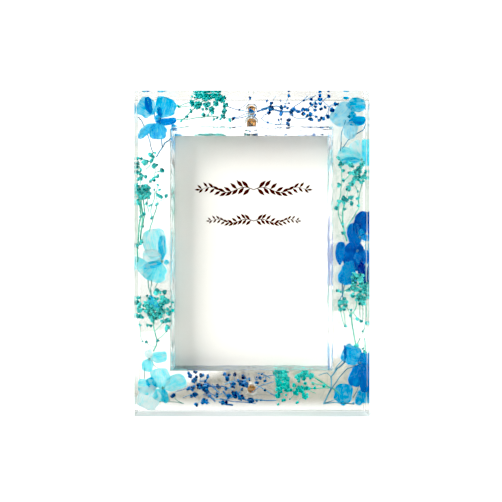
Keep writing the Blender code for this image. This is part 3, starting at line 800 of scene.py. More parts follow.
# %% Spray table
SPRAYS = {
    "spray_teal_top_left": {
        "dye": "teal", "layer": "front", "crowd": 3.2,
        "stems": [(0.3, [(-44.5, 175.5), (-39, 175.5), (-35, 176), (-30, 176.5), (-23.5, 177.5),
                (-19.5, 177)]),
            (0.35, [(-42, 174.5), (-38.5, 177), (-36, 180.5), (-32, 184), (-28.5, 186.5)]),
            (0.25, [(-43.5, 183), (-40.5, 184.5), (-36.5, 185.5), (-32.5, 187.5)]),
            (0.25, [(-43.5, 182.5), (-36.5, 183.5)]),
            (0.25, [(-26, 177.5), (-25, 181), (-22.5, 184.5), (-20, 188)]),
            (0.28, [(-16.5, 176.5), (-16, 181), (-17, 186), (-19.5, 189)]),
            (0.2, [(-36, 184.5), (-36, 189.5)])],
        "buds": [(-43.5, 183, 0.9), (-42, 174.5, 0.8), (-38.5, 177, 1.1), (-36, 180, 0.9),
            (-36.5, 181.5, 0.6), (-28.5, 178, 1.1), (-26, 178, 0.8), (-22.5, 175.5, 0.8),
            (-20.5, 176.5, 0.8), (-13, 175, 1.2), (-27, 181.5, 0.8), (-29, 181.5, 0.7),
            (-18.5, 175.5, 0.8), (-35.5, 189, 0.6)],
        "clumps": [(-31.5, 189.5, 3.6, 2.3), (-26.5, 189.5, 3.6, 2.3), (-21, 189.5, 3, 2.3),
            (-17.5, 187.5, 1.7, 2.4), (-15.5, 183.5, 1.3, 1.4), (-16, 180.5, 1.4, 1.5),
            (-17, 177, 1.3, 1.4), (-32, 183.5, 2.3, 2.3), (-27, 185, 2.1, 2.1),
            (-23.5, 181, 1.3, 2.1), (-21.5, 185, 1.5, 1.4), (-35.5, 185, 1.4, 1.3)]},
    "spray_navy_top": {
        "dye": "navy", "layer": "front", "crowd": 2.4,
        "stems": [(0.55, [(3, 180), (6, 181), (9.5, 182), (14, 181), (18.5, 180), (22.5, 180),
                (26.5, 181)]), (0.4, [(5.5, 181.5), (11, 183), (14.5, 183.5), (20, 182.5)]),
            (0.25, [(1.5, 178), (-4.5, 177), (-10.5, 176)]),
            (0.2, [(1.5, 179.5), (-4.5, 178.5), (-10, 176.5)]),
            (0.25, [(-14, 183), (-7.5, 181), (-3, 180), (2.5, 180)]),
            (0.16, [(-7.5, 181.5), (-4.5, 183.5)]),
            (0.22, [(25, 183), (30.5, 186.5), (33.5, 189.5)]),
            (0.2, [(30.5, 186.5), (36.5, 189), (38, 189.5)]),
            (0.2, [(22.5, 178.5), (27, 176), (31.5, 176), (34.5, 178)]),
            (0.2, [(41, 185), (44, 188), (46, 189)]), (0.16, [(42, 186.5), (46, 183)]),
            (0.22, [(5.5, 175.5), (7.5, 178), (10.5, 179.5)]),
            (0.18, [(6, 175.5), (9.5, 173.5), (17.5, 172.5)]),
            (0.25, [(32.5, 181), (35, 183.5), (38, 186.5), (40.5, 187.5)]),
            (0.18, [(17.5, 181), (20, 184.5), (22, 189.5)]),
            (0.16, [(11, 181.5), (9, 184.5), (9, 186.5)]),
            (0.16, [(11, 182.5), (13, 187.5), (14.5, 189.5)])],
        "buds": [(11.5, 185, 1), (10.5, 179.5, 1.1), (12.5, 181.5, 0.9), (17.5, 182.5, 1.2),
            (17.5, 179, 1.2), (20, 183, 0.7), (21.5, 182.5, 0.8), (25, 181.5, 1.5),
            (23.5, 180, 1.2), (24, 178.5, 0.8), (27.5, 180, 1.2), (30.5, 181.5, 1.3),
            (30.5, 179, 1.1), (33, 181, 1.2), (35, 178.5, 1.3), (33, 177.5, 1), (35, 175.5, 1.3),
            (35.5, 187.5, 0.9), (35, 185, 0.8), (36, 184, 0.8), (38, 185, 0.8), (38, 183, 0.9),
            (38, 181, 0.95), (40.5, 187, 1.4), (40.5, 184.5, 1), (40.5, 189.5, 1.05),
            (41, 181.5, 1.05), (43.5, 182.5, 1), (46, 189, 0.9), (47.5, 181, 1.35),
            (49.5, 184.5, 0.9), (51, 184.5, 0.9), (45.5, 177, 1.15), (42.5, 176, 1.35),
            (38, 177, 0.9), (40, 175, 0.85), (22, 175, 1), (21.5, 172.5, 1.25), (16, 175, 0.65),
            (17.5, 175.5, 0.7), (9.5, 173.5, 0.7), (9, 186.5, 0.7), (22, 189.5, 0.85),
            (22, 185, 0.65), (17, 186.5, 0.6), (31, 186.5, 0.7), (-7.5, 181, 0.7), (-11, 176, 1),
            (-1, 188, 0.95), (0, 180.5, 1.3), (2, 178, 0.7), (14.5, 172.5, 0.5)],
        "clumps": [(11.5, 182, 1.4, 1.2)]},
    "spray_teal_left_upper": {
        "dye": "teal", "layer": "front", "crowd": 3.2,
        "stems": [(0.5, [(-67, 128.5), (-66.5, 124), (-66, 118.5), (-67, 112.5), (-67.5, 105),
                (-68, 96.5), (-68, 90.5)]),
            (0.55, [(-66, 128.5), (-65.5, 123), (-65, 117.5), (-65.5, 110.5), (-66, 102)]),
            (0.4, [(-64.5, 128), (-64, 123), (-63.5, 119), (-64.5, 114.5), (-65.5, 110.5)]),
            (0.28, [(-61.5, 130), (-62.5, 124.5), (-61, 120)]),
            (0.36, [(-56.5, 125), (-57, 121.5), (-58.5, 117.5), (-60, 112.5), (-61, 108.5)]),
            (0.28, [(-57.5, 132.5), (-58, 128), (-59.5, 124), (-60, 120), (-59.5, 117)]),
            (0.28, [(-66.5, 146.5), (-66, 140.5), (-66.5, 135.5)]),
            (0.2, [(-57.5, 148), (-57.5, 144), (-58, 140)]),
            (0.22, [(-55.5, 137), (-57, 132.5), (-56.5, 128.5), (-56, 125)]),
            (0.25, [(-58.5, 156), (-59.5, 152), (-60.5, 148), (-63, 145.5)]),
            (0.2, [(-55, 127), (-56, 125)]), (0.2, [(-63, 136.5), (-60.5, 138)])],
        "buds": [(-60.5, 154.5, 1.5), (-57.5, 155.5, 0.7), (-58.5, 153, 0.9), (-67.5, 152.5, 1),
            (-66, 152, 1), (-63.5, 150, 1.9), (-68, 149.5, 1.2), (-68, 147, 1.2),
            (-58, 148, 1.6), (-59.5, 151, 1.2), (-56.5, 148.5, 0.8), (-53.5, 145.5, 1.3),
            (-53, 145.5, 0.8), (-56, 141.5, 1.3), (-58.5, 140, 1.2), (-60, 139, 0.9),
            (-66, 145.5, 1), (-68, 144, 1.3), (-65.5, 142, 1.5), (-63, 141.5, 1.1),
            (-67, 140, 1.3), (-66, 140, 1.1), (-58, 133.5, 0.8), (-55, 133.5, 0.8),
            (-56, 136.5, 0.7), (-56, 130.5, 1.3), (-54, 129.5, 1.1), (-51, 130, 1.2),
            (-56.5, 125, 1), (-59.5, 117, 0.9), (-64, 119, 1.1), (-62.5, 125.5, 1),
            (-61, 124, 0.7), (-59.5, 124.5, 0.7), (-61, 128.5, 0.9), (-65, 112, 1),
            (-66.5, 117.5, 0.8), (-68, 100.5, 1.2), (-65.5, 103, 1.1), (-66, 101.5, 1),
            (-68, 127, 0.9), (-67, 125.5, 1.3)],
        "clumps": [(-68, 135, 1.3, 1.8), (-64, 134.5, 3, 1.8), (-68, 131, 1.3, 1.9),
            (-64.5, 129.5, 3, 1.5), (-61.5, 131, 1.2, 1.4), (-66, 132.5, 3, 1.4)]},
    "spray_teal_left_lower": {
        "dye": "teal", "layer": "front", "crowd": 3.2,
        "stems": [(0.42, [(-58, 58.5), (-58.5, 53), (-57.5, 48.5), (-56.5, 44.5), (-57, 40.5),
                (-58.5, 37.5)]), (0.2, [(-53, 55), (-55, 52), (-57.5, 49.5)]),
            (0.22, [(-56, 44.5), (-54, 46), (-51.5, 48.5)]),
            (0.4, [(-64, 65), (-61.5, 61), (-60, 56.5), (-58.5, 54)]),
            (0.25, [(-66.5, 66.5), (-66, 62), (-67, 57.5)]),
            (0.25, [(-54, 68.5), (-54, 63.5), (-54.5, 58.5), (-56.5, 56)]),
            (0.25, [(-67, 55), (-66.5, 50)]), (0.2, [(-62.5, 54), (-59.5, 53)]),
            (0.22, [(-51.5, 67.5), (-52, 61), (-53, 55)]),
            (0.3, [(-63.5, 65), (-61, 62.5), (-59.5, 59.5)])],
        "buds": [(-56.5, 73.5, 1.9), (-54.5, 72.5, 0.9), (-52, 73, 1.3), (-68, 69.5, 1.1),
            (-66.5, 69.5, 0.9), (-62.5, 70.5, 0.8), (-61, 69, 0.8), (-57.5, 69, 0.9),
            (-56, 69, 0.9), (-57, 66.5, 1), (-51.5, 67, 1.8), (-50, 67.5, 0.9),
            (-66.5, 65.5, 1.4), (-67.5, 64, 1), (-67, 61.5, 1.3), (-65.5, 62.5, 1),
            (-68, 59, 1.2), (-66.5, 58.5, 1.5), (-65, 57.5, 1), (-53.5, 55.5, 1.1),
            (-50.5, 56, 1.5), (-49, 55.5, 0.8), (-50.5, 51.5, 1.6), (-51, 50, 0.9),
            (-62, 53, 0.8), (-60, 52.5, 0.9), (-66.5, 53, 0.7), (-65, 43.5, 0.7), (-63, 43, 0.9),
            (-56, 44, 1), (-52, 62, 0.8), (-52, 60.5, 0.8), (-50, 62.5, 1.2), (-49, 60, 1.4),
            (-48.5, 64, 0.8), (-47.5, 66.5, 0.8), (-47, 61.5, 0.9)],
        "clumps": [(-63, 65.5, 1.8, 1.9), (-68, 66, 1.2, 1.4), (-60, 61, 2, 3.6),
            (-58.5, 57.5, 1.7, 2.4), (-62.5, 62.5, 1.5, 1.8), (-54.5, 60.5, 1.7, 3),
            (-54, 65, 1.5, 2.4), (-53, 69, 1.7, 1.8), (-56.5, 61, 1.2, 2.4)]},
    "spray_navy_bottom": {
        "dye": "navy", "layer": "front", "crowd": 4,
        "stems": [(0.5, [(-30, 17), (-26.5, 17), (-23, 16.5), (-20, 16.5)]),
            (0.45, [(-29.5, 15.5), (-26.5, 13.5), (-25, 10.5), (-21.5, 7.5)]),
            (0.45, [(-18.5, 17), (-14, 15.5), (-11, 17)]),
            (0.6, [(-17, 14), (-14.5, 10.5), (-10.5, 10.5), (-7, 13.5)]),
            (0.65, [(-9.5, 14), (-7, 10.5), (-3, 8.5), (0, 8.5)]),
            (0.4, [(-7.5, 17), (-5, 20), (-1.5, 21)]),
            (0.4, [(-31, 20), (-28, 20), (-26, 21.5)]), (0.35, [(-28, 9), (-25, 6.5)]),
            (0.6, [(-19.5, 7.5), (-15.5, 6), (-11, 5.5)]),
            (0.35, [(-1, 8.5), (6, 8.5), (14.5, 8.5)]),
            (0.3, [(2.5, 17.5), (6.5, 15.5), (11, 12.5), (14, 11)]),
            (0.3, [(3.5, 24.5), (7.5, 23.5), (11, 21.5)]),
            (0.22, [(-38, 15.5), (-41.5, 14.5), (-45, 13.5)]),
            (0.2, [(-35, 12.5), (-38.5, 11), (-41, 10)]), (0.3, [(-33, 19.5), (-31, 17)]),
            (0.3, [(-14, 21.5), (-13, 18.5), (-11, 17)]),
            (0.3, [(-26, 13.5), (-21.5, 11), (-17.5, 12.5)]),
            (0.3, [(-23.5, 18), (-20.5, 14), (-22.5, 10)]),
            (0.35, [(-27, 19), (-22, 15), (-19, 13)]),
            (0.4, [(-12, 14.5), (-9.5, 12), (-6, 9.5)]),
            (0.3, [(-19, 9.5), (-10, 7.5), (2, 6.5)]),
            (0.25, [(2, 20.5), (8, 22.5), (14, 23.5)]), (0.25, [(0, 13), (6, 17.5), (13, 19.5)]),
            (0.3, [(-16, 18), (-10, 20), (-4, 19)]), (0.25, [(-29, 12), (-22, 9), (-14, 9)])],
        "buds": [(-37.5, 24.5, 1.2), (-36.5, 22.5, 1.2), (-33.5, 25, 1), (-33, 22.5, 0.9),
            (-30, 23, 1.4), (-26, 22.5, 1.1), (-37.5, 15.5, 1.2), (-34, 12, 1.5), (-35.5, 11, 1),
            (-46.5, 11.5, 1.4), (-27.5, 20, 1), (-20, 16.5, 1.4), (-26, 17, 0.8), (-33, 6, 1.1),
            (-16, 24, 0.9), (-13.5, 23.5, 0.9), (-10, 24, 1.2), (-14.5, 21, 1.4), (-5, 22, 1.3),
            (-1.5, 21, 0.8), (-25, 11, 1), (-20.5, 10.5, 0.9), (-20.5, 12, 0.7), (-8, 20, 0.9),
            (3, 19, 1.1), (6, 24, 0.8), (5, 22, 0.9), (8, 20, 0.8), (8, 14.5, 0.8), (3, 22, 0.6),
            (-15.5, 15.5, 0.9), (3, 8.5, 0.8), (5.5, 8.5, 0.8), (-3, 17, 0.8), (-6, 15, 0.8)],
        "clumps": [(-34, 20.5, 1.5, 1.4), (-35, 16, 1.2, 1.4), (-31, 17, 1.8, 1.8),
            (-28, 16, 1.8, 1.7), (-27, 14, 1.2, 1.2), (-28, 7.5, 1.7, 1.9), (-16.5, 7, 2.1, 0.8),
            (-11, 17, 1.5, 1.5), (-5.5, 18.5, 2.1, 1.8), (-3.5, 17.5, 1.2, 1.2),
            (-10, 12, 1.8, 2), (-13, 10.5, 2.1, 1), (-6.5, 10, 1.8, 1.4), (-0.5, 8.5, 1.4, 1)]},
    "spray_teal_bottom": {
        "dye": "vivid", "layer": "back", "crowd": 4.4,
        "stems": [(0.45, [(53, 11.5), (49.5, 14.5), (46, 16), (42.5, 18.5), (38.5, 21)]),
            (0.35, [(47, 15), (41, 15), (35, 15), (31, 14)]),
            (0.3, [(43.5, 16.5), (39.5, 17.5), (36.5, 18)]), (0.22, [(38.5, 12), (35, 13.5)]),
            (0.3, [(38.5, 21), (34.5, 22.5), (31, 22.5)]),
            (0.3, [(31, 14), (26.5, 14), (22, 15.5), (18, 17.5)]),
            (0.3, [(18, 17.5), (18, 21), (17, 24.5)]), (0.28, [(31, 22.5), (28, 21)]),
            (0.28, [(31, 14), (32, 10.5)])],
        "buds": [(16, 5.5, 0.8), (19, 8, 1.1), (27.5, 6.5, 0.9), (37, 18, 0.9), (43.5, 16, 1.1),
            (38, 15, 0.9), (25.5, 16.5, 1.1), (32, 18, 1), (28.5, 19, 0.8), (20.5, 11, 0.7),
            (23, 8.5, 0.6), (31.5, 20.5, 1.1), (35.5, 21.5, 1.1)],
        "clumps": [(15, 24, 1.7, 2.5), (19.5, 24, 2.5, 2.4), (20.5, 21, 2.2, 2),
            (16.5, 20, 2.3, 1.8), (17.5, 16.5, 2.6, 2.2), (21, 16.5, 1.9, 2),
            (16.5, 13.5, 1.6, 1.8), (16, 10.5, 1.2, 1.3), (22, 14, 1.8, 1.3), (28, 15, 1.2, 1.1),
            (26.5, 12.5, 1.3, 1.6), (30.5, 14, 1.6, 2), (33.5, 15, 1.1, 1.1),
            (32, 10.5, 1.8, 1.6), (27.5, 21, 1.4, 1.2), (29, 22.5, 1.2, 1.3), (32, 24, 1.7, 2.4),
            (35.5, 22.5, 1.4, 1.3)]},
    "spray_teal_right_upper": {
        "dye": "teal", "layer": "front", "crowd": 3.2,
        "stems": [(0.28, [(53, 148.5), (53.5, 142.5), (53.5, 136.5), (53, 131.5), (52, 127.5)]),
            (0.25, [(54.5, 138.5), (56.5, 140.5), (58.5, 143)]),
            (0.55, [(55, 125.5), (54, 120.5), (54, 115.5), (54.5, 111), (55, 107.5),
                (56.5, 103)]), (0.32, [(51.5, 123.5), (51.5, 119), (53, 114.5), (54.5, 110.5)]),
            (0.36, [(63.5, 128), (64, 123.5), (62, 120), (59, 115), (56.5, 110.5)]),
            (0.26, [(61.5, 136), (63, 132.5), (63.5, 128)]),
            (0.26, [(65.5, 137), (64.5, 133), (64, 128)]),
            (0.4, [(65.5, 148.5), (63, 145), (61, 140.5), (59, 137), (57, 133.5)]),
            (0.2, [(57, 133.5), (56.5, 130), (55, 127.5)]), (0.25, [(67, 140.5), (65, 138)]),
            (0.2, [(52, 119), (54.5, 117.5)])],
        "buds": [(51.5, 152.5, 1), (52.5, 149, 1.1), (54, 148.5, 0.9), (53, 147, 0.7),
            (54.5, 145, 0.9), (58.5, 148, 1.2), (60, 147.5, 0.9), (58.5, 143.5, 1.1),
            (68, 144.5, 1.2), (68, 140.5, 1.3), (67, 142, 1.2), (65, 138, 1.2), (66.5, 139, 0.8),
            (52, 136.5, 1.3), (54.5, 139, 0.8), (59, 129, 1.5), (55, 128, 1.8), (55, 125.5, 1),
            (52, 126.5, 1.3), (50.5, 122.5, 1.3), (51.5, 124.5, 1), (63, 128.5, 1.1),
            (59.5, 125.5, 1.2), (55, 108, 1.2), (63, 132.5, 0.7), (63.5, 124, 0.8),
            (55, 122, 0.8), (54, 113, 0.8)],
        "clumps": [(65.5, 148.5, 1.5, 1.7), (64, 145.5, 1.5, 1.8), (61.5, 144, 1.8, 1.5),
            (64, 141, 1.5, 1.7), (61.5, 140.5, 1.3, 1.3), (59.5, 138, 1.4, 1.7),
            (57.5, 134.5, 1.3, 1.4), (58.5, 149, 1.2, 1.2), (66, 141, 1.1, 1.1)]},
    "spray_teal_right_lower": {
        "dye": "teal", "layer": "front", "crowd": 3.2,
        "stems": [(0.45, [(59, 61), (59.5, 55.5), (60.5, 49.5), (61.5, 43.5), (62, 40.5)]),
            (0.4, [(62.5, 67), (61.5, 62.5), (59, 59.5)]),
            (0.26, [(52.5, 65.5), (53, 60.5), (55, 53)]),
            (0.26, [(54, 64.5), (55, 59), (55.5, 53)]), (0.24, [(56, 64.5), (58.5, 59.5)]),
            (0.26, [(60, 61), (62.5, 57.5), (65.5, 55.5)]), (0.24, [(64.5, 66.5), (64.5, 57.5)]),
            (0.24, [(66, 66.5), (66, 56)]), (0.26, [(68, 55.5), (67, 51.5), (66, 48)]),
            (0.28, [(64.5, 45.5), (62.5, 41.5)]), (0.34, [(67, 45.5), (67.5, 40.5), (67.5, 37)]),
            (0.3, [(68, 65.5), (68, 62), (68, 57.5)]), (0.3, [(54.5, 73), (57, 74.5), (60, 76)])],
        "buds": [(60, 70.5, 1.4), (51.5, 73.5, 1.1), (53, 73, 0.7), (53, 66.5, 1.9),
            (52, 65, 1.2), (55, 68.5, 1.1), (56.5, 67, 1.1), (55.5, 64.5, 1.4), (55, 62.5, 0.9),
            (53, 62.5, 1.2), (56, 52.5, 0.9), (59, 59, 0.9), (59, 62, 0.8), (62.5, 57, 1),
            (65, 55.5, 1), (68, 54.5, 1.1), (66, 49.5, 0.8), (55.5, 69, 0.9), (58, 74.5, 1.2),
            (56.5, 73.5, 0.7), (67.5, 37, 1.1), (62.5, 41, 1.2), (66, 39, 0.7)],
        "clumps": [(61, 82.5, 1.7, 2), (64.5, 81.5, 2, 2.4), (60.5, 78, 1.5, 1.8),
            (64.5, 77.5, 2.4, 1.8), (68, 76.5, 1.5, 2), (59.5, 75, 1.5, 1.2), (63, 74.5, 2, 1.8),
            (67, 73.5, 2, 2), (68, 70, 1.3, 1.5), (64.5, 70.5, 2.1, 2), (65.5, 66.5, 1.8, 1.4),
            (63, 68.5, 1.2, 1.4), (68, 74, 1, 1.5)]},
}
print("Sprays:", len(SPRAYS))

# %% [markdown]
# ## A skeleton of edges
# Python joins the points to a skeleton: the stems first, then a twig to every bud from the
# nearest point of a stem, and in each clump a handful of twigs with buds. Each line is bent a
# little and split in short edges, and a bud is two or three knobs, as the real ones are. The mesh
# keeps three numbers at each point: the stem's thickness, the size of a bud where there is one,
# and a shade.


# %% Skeletons
class Skeleton:
    """Points and edges of one plant, with a thickness, a bud size and a shade at each point."""

    def __init__(self, seed):
        self.points, self.edges = [], []
        self.thickness, self.bud, self.shade = [], [], []
        self.wander = random.Random(seed)

    def point(self, place, thickness, bud=0.0, shade=0.5):
        """Adds a point and returns its number."""
        self.points.append(kept_inside(place.copy()))
        self.thickness.append(thickness)
        self.bud.append(bud)
        self.shade.append(shade)
        return len(self.points) - 1

    def line(self, start, end, thick, thin, bow=0.12, bud=0.0, steps=5):
        """Adds a bent line of edges, each end with its thickness, and a bud at its end."""
        span = end - start
        side = Vector((-span.z, 0, span.x)) * self.wander.uniform(-bow, bow)
        side.y = span.length * self.wander.uniform(-bow, bow) / 2
        shade = self.wander.random()
        last = self.point(start, thick, 0, shade)
        for i in range(1, steps + 1):
            t = i / steps
            place = start + span * t + side * math.sin(math.pi * t)
            here = self.point(place, thick + (thin - thick) * t, bud if i == steps else 0,
                              self.wander.random() if i == steps else shade)
            self.edges.append((last, here))
            last = here

    def mesh(self, name):
        """The skeleton as a mesh with its attributes."""
        made = bpy.data.meshes.new(name)
        made.from_pydata(self.points, self.edges, [])
        for label, values in (("thickness", self.thickness), ("bud", self.bud),
                              ("shade", self.shade)):
            made.attributes.new(label, "FLOAT", "POINT").data.foreach_set("value", values)
        return made


def nearest(place, places):
    """The closest of the places."""
    return min(places, key=lambda other: (other - place).length)


def spray_skeleton(name, spray):
    """The skeleton of one spray, at its layer's depth."""
    plant = Skeleton(name)
    wander = plant.wander
    depth = LAYERS[spray["layer"]]

    def at(x, z, loose=0.7):
        return Vector((x * MM, FRONT_Y + (depth + wander.uniform(-loose, loose)) * MM, z * MM))

    def budding(start, end, size):
        """A twig with a bud of this radius, and a smaller knob or two beside it."""
        plant.line(start, end, 0.17 * MM, 0.12 * MM, 0.16, bud=0.9 * size * MM, steps=4)
        for _ in range(2 if size > 0.75 else 1):
            turn = wander.uniform(0, math.tau)
            aside = Vector((math.cos(turn), wander.uniform(-0.5, 0.5), math.sin(turn)))
            plant.line(end, end + aside * 0.75 * size * MM, 0.1 * MM, 0.1 * MM, 0,
                       bud=wander.uniform(0.5, 0.75) * size * MM, steps=1)

    forks = []
    for thickness, places in spray["stems"]:
        joints = [at(x, z, 0.25) for x, z in places]
        for start, end in zip(joints, joints[1:]):
            plant.line(start, end, thickness * MM, thickness * 0.92 * MM, 0.05)
        forks += joints
    for x, z, size in spray["buds"]:
        end = at(x, z)
        budding(nearest(end, forks), end, size * wander.uniform(0.9, 1.1))
    for x, z, half_width, half_height in spray["clumps"]:
        hub = at(x, z, 0.3)
        plant.line(nearest(hub, forks), hub, 0.22 * MM, 0.18 * MM, 0.08)
        for _ in range(round(3 + half_width * half_height * spray["crowd"])):
            turn, reach = wander.uniform(0, math.tau), wander.random() ** 0.5
            end = hub + Vector((half_width * reach * math.cos(turn), wander.uniform(-0.9, 0.9),
                                half_height * reach * math.sin(turn))) * MM
            plant.line(hub, end, 0.16 * MM, 0.12 * MM, 0.2,
                       bud=wander.uniform(0.6, 1.1) * MM, steps=3)
    return plant


# %% [markdown]
# ## Stems and buds by Geometry Nodes
# One node tree dresses every skeleton. It sweeps a small circle along the edges, at the stored
# thickness, and sets a crumpled ball on every point that has a bud, turned at random. The tree
# ends in Realize Instances and two materials, and the result is kept as a plain mesh.

# %% Plant tree


def plant_tree():
    """Builds the tree that turns a skeleton into stems and buds."""
    tree = bpy.data.node_groups.new("plant from skeleton", "GeometryNodeTree")
    for label, kind in (("Geometry", "Geometry"), ("Stem Sides", "Int"), ("Crumple", "Float"),
                        ("Seed", "Int"), ("Stem Finish", "Material"),
                        ("Bud Finish", "Material")):
        tree.interface.new_socket(name=label, in_out="INPUT", socket_type="NodeSocket" + kind)
    tree.interface.new_socket(name="Geometry", in_out="OUTPUT", socket_type="NodeSocketGeometry")
    given = add(tree, "NodeGroupInput").outputs
    thickness, bud = (add(tree, "GeometryNodeInputNamedAttribute", {"Name": label},
                          data_type="FLOAT") for label in ("thickness", "bud"))
    lines = add(tree, "GeometryNodeMeshToCurve", {"Mesh": given["Geometry"]})
    circle = add(tree, "GeometryNodeCurvePrimitiveCircle", {"Resolution": given["Stem Sides"],
                                                            "Radius": 1.0})
    tubes = add(tree, "GeometryNodeCurveToMesh", {"Curve": lines, "Profile Curve": circle,
                                                  "Scale": thickness, "Fill Caps": True})
    tubes = add(tree, "GeometryNodeSetMaterial", {"Geometry": tubes,
                                                  "Material": given["Stem Finish"]})
    chosen = add(tree, "FunctionNodeCompare", {"A": bud, "B": 0.0}, data_type="FLOAT",
                 operation="GREATER_THAN")
    spots = add(tree, "GeometryNodeMeshToPoints", {"Mesh": given["Geometry"],
                                                   "Selection": chosen})
    ball = add(tree, "GeometryNodeMeshUVSphere", {"Radius": 1.0, "Segments": 8, "Rings": 6})
    rough = add(tree, "ShaderNodeTexNoise", {"Scale": 1.7, "Detail": 1.0})
    level = add(tree, "ShaderNodeMath", {0: rough, 1: 0.5}, operation="SUBTRACT")
    depth = add(tree, "ShaderNodeMath", {0: level, 1: given["Crumple"]}, operation="MULTIPLY")
    offset = add(tree, "ShaderNodeVectorMath", {0: add(tree, "GeometryNodeInputNormal"),
                                                "Scale": depth}, operation="SCALE")
    crumpled = add(tree, "GeometryNodeSetPosition", {"Geometry": ball, "Offset": offset})
    turn = add(tree, "FunctionNodeRandomValue", {"Seed": given["Seed"], "Max": [math.tau] * 3},
               data_type="FLOAT_VECTOR")
    stretch = add(tree, "FunctionNodeRandomValue", {"Seed": given["Seed"], "Min": [0.85] * 3,
                                                    "Max": [1.2] * 3}, data_type="FLOAT_VECTOR")
    scale = add(tree, "ShaderNodeVectorMath", {0: stretch, "Scale": bud}, operation="SCALE")
    set_on = add(tree, "GeometryNodeInstanceOnPoints", {"Points": spots, "Instance": crumpled,
                                                        "Rotation": turn, "Scale": scale})
    real = add(tree, "GeometryNodeRealizeInstances", {"Geometry": set_on})
    buds = add(tree, "GeometryNodeSetMaterial", {"Geometry": real,
                                                 "Material": given["Bud Finish"]})
    both = add(tree, "GeometryNodeJoinGeometry")
    for part in (buds, tubes):
        plug(both, {"Geometry": part})
    smooth = add(tree, "GeometryNodeSetShadeSmooth", {"Geometry": both})
    add(tree, "NodeGroupOutput", {"Geometry": smooth})
    return tree


def grown(name, skeleton, stem_finish, bud_finish, seed):
    """The piece that the plant tree makes of a skeleton."""
    piece = new_piece(name, skeleton.mesh(name))
    grow = piece.modifiers.new("grow", "NODES")
    grow.node_group = PLANT
    values = {"Stem Sides": 5, "Crumple": 0.9, "Seed": seed, "Stem Finish": stem_finish,
              "Bud Finish": bud_finish}
    for item in PLANT.interface.items_tree:
        if item.name in values:
            grow[item.identifier] = values[item.name]
    baked(piece)
    # A bud at the resin's face was trimmed flat with it
    for vert in piece.data.vertices:
        vert.co = kept_inside(vert.co)
    return piece


PLANT = plant_tree()
sprays = {}
for number, (name, spray) in enumerate(SPRAYS.items()):
    skeleton = spray_skeleton(name, spray)
    sprays[name] = grown(name + "_buds", skeleton, STEMS[spray["dye"]], BUDS[spray["dye"]],
                         number)
    print(name, "has", sum(b > 0 for b in skeleton.bud), "buds and",
          len(sprays[name].data.polygons), "faces")

# %% [markdown]
# ## Hearts and stalks of the florets
# The same tree grows the florets' stalks. The heart of each floret is a tight knot of a few
# round knobs, so it is a ring of very short twigs with buds.

# %% Hearts and stalks


def floret_skeleton(name, floret):
    """The stalks and the heart of one floret."""
    plant = Skeleton(name + " stalks")
    y = FRONT_Y + LAYERS[floret["layer"]] * MM
    heart = Vector((floret["heart"][0] * MM, y, floret["heart"][1] * MM))
    for i in range(5):
        turn = math.tau * (i + plant.wander.random() / 2) / 5
        end = heart + Vector((0.55 * math.cos(turn), -0.45, 0.55 * math.sin(turn))) * MM
        plant.line(heart, end, 0.2 * MM, 0.2 * MM, 0, 0.38 * MM, steps=1)
    for thickness, stalk in floret["stalks"]:
        places = [Vector((x * MM, y + plant.wander.uniform(0.1, 0.7) * MM, z * MM))
                  for x, z in stalk]
        for start, end in zip(places, places[1:]):
            plant.line(start, end, thickness * MM, thickness * 0.95 * MM, 0.05)
    return plant


hearts = {}
for number, (name, floret) in enumerate(FLORETS.items()):
    tone = "pale" if floret["dye"] == "pale" else "azure"
    hearts[name] = grown(name + "_stalks", floret_skeleton(name, floret), STEMS[tone],
                         STEMS[tone], 100 + number)
print("Stalk faces:", sum(len(h.data.polygons) for h in hearts.values()))

# %% [markdown]
# ## Put the pieces on the part
# Every piece rides on the part's one body and stands for its imported node. The two packed halves
# of the ring and the pocket between them were only for the solid model: one clear ring replaces
# both, and the flowers lie straight in the resin.

# %% Ride and replace
SLOTS = {"sky": "azure", "azure": "azure", "royal": "royal_blue", "pale": "pale_cyan",
         "teal": "teal", "vivid": "teal", "navy": "navy"}


def stands_for(piece, slot, *nodes):
    """The piece rides on the root body and replaces these nodes."""
    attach(piece, "root")
    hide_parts(*nodes)


stands_for(ring, "clear_resin", "resin_front_half", "resin_rear_half")
stands_for(plate, "clear_acrylic", "back_plate")
stands_for(card, "paper", "insert_card")
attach(sprigs, "root")
for node, magnet in magnets.items():
    stands_for(magnet, "copper" if node.startswith("block") else "nickel", node)
for name, spray in SPRAYS.items():
    stands_for(sprays[name], SLOTS[spray["dye"]], name)
for name, floret in FLORETS.items():
    stands_for(petals[name], SLOTS[floret["dye"]], name)
    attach(hearts[name], "root")

# %% [markdown]
# ## The table
# The photograph is a bright product shot on a pale, slightly shiny table. Seen through the clear
# bars, the table behind the frame lies in shade, and behind the bottom bar's right part the
# frame's shadow falls, grey-brown. A few soft-edged zones of colour paint that shade and that
# shadow on the table. Behind the frame the table is a wedge, no wider than what the bars show of
# it, and past the wedge the bright room shows.

# %% Table
table_finish, tree, shader = new_finish("pale satin table", Roughness=0.5)
place = add(tree, "ShaderNodeTexCoord").outputs["Object"]
spot = add(tree, "ShaderNodeSeparateXYZ", {"Vector": place}).outputs
slant = add(tree, "ShaderNodeMath", {0: spot["Y"], 1: -0.33, 2: spot["X"]},
            operation="MULTIPLY_ADD")
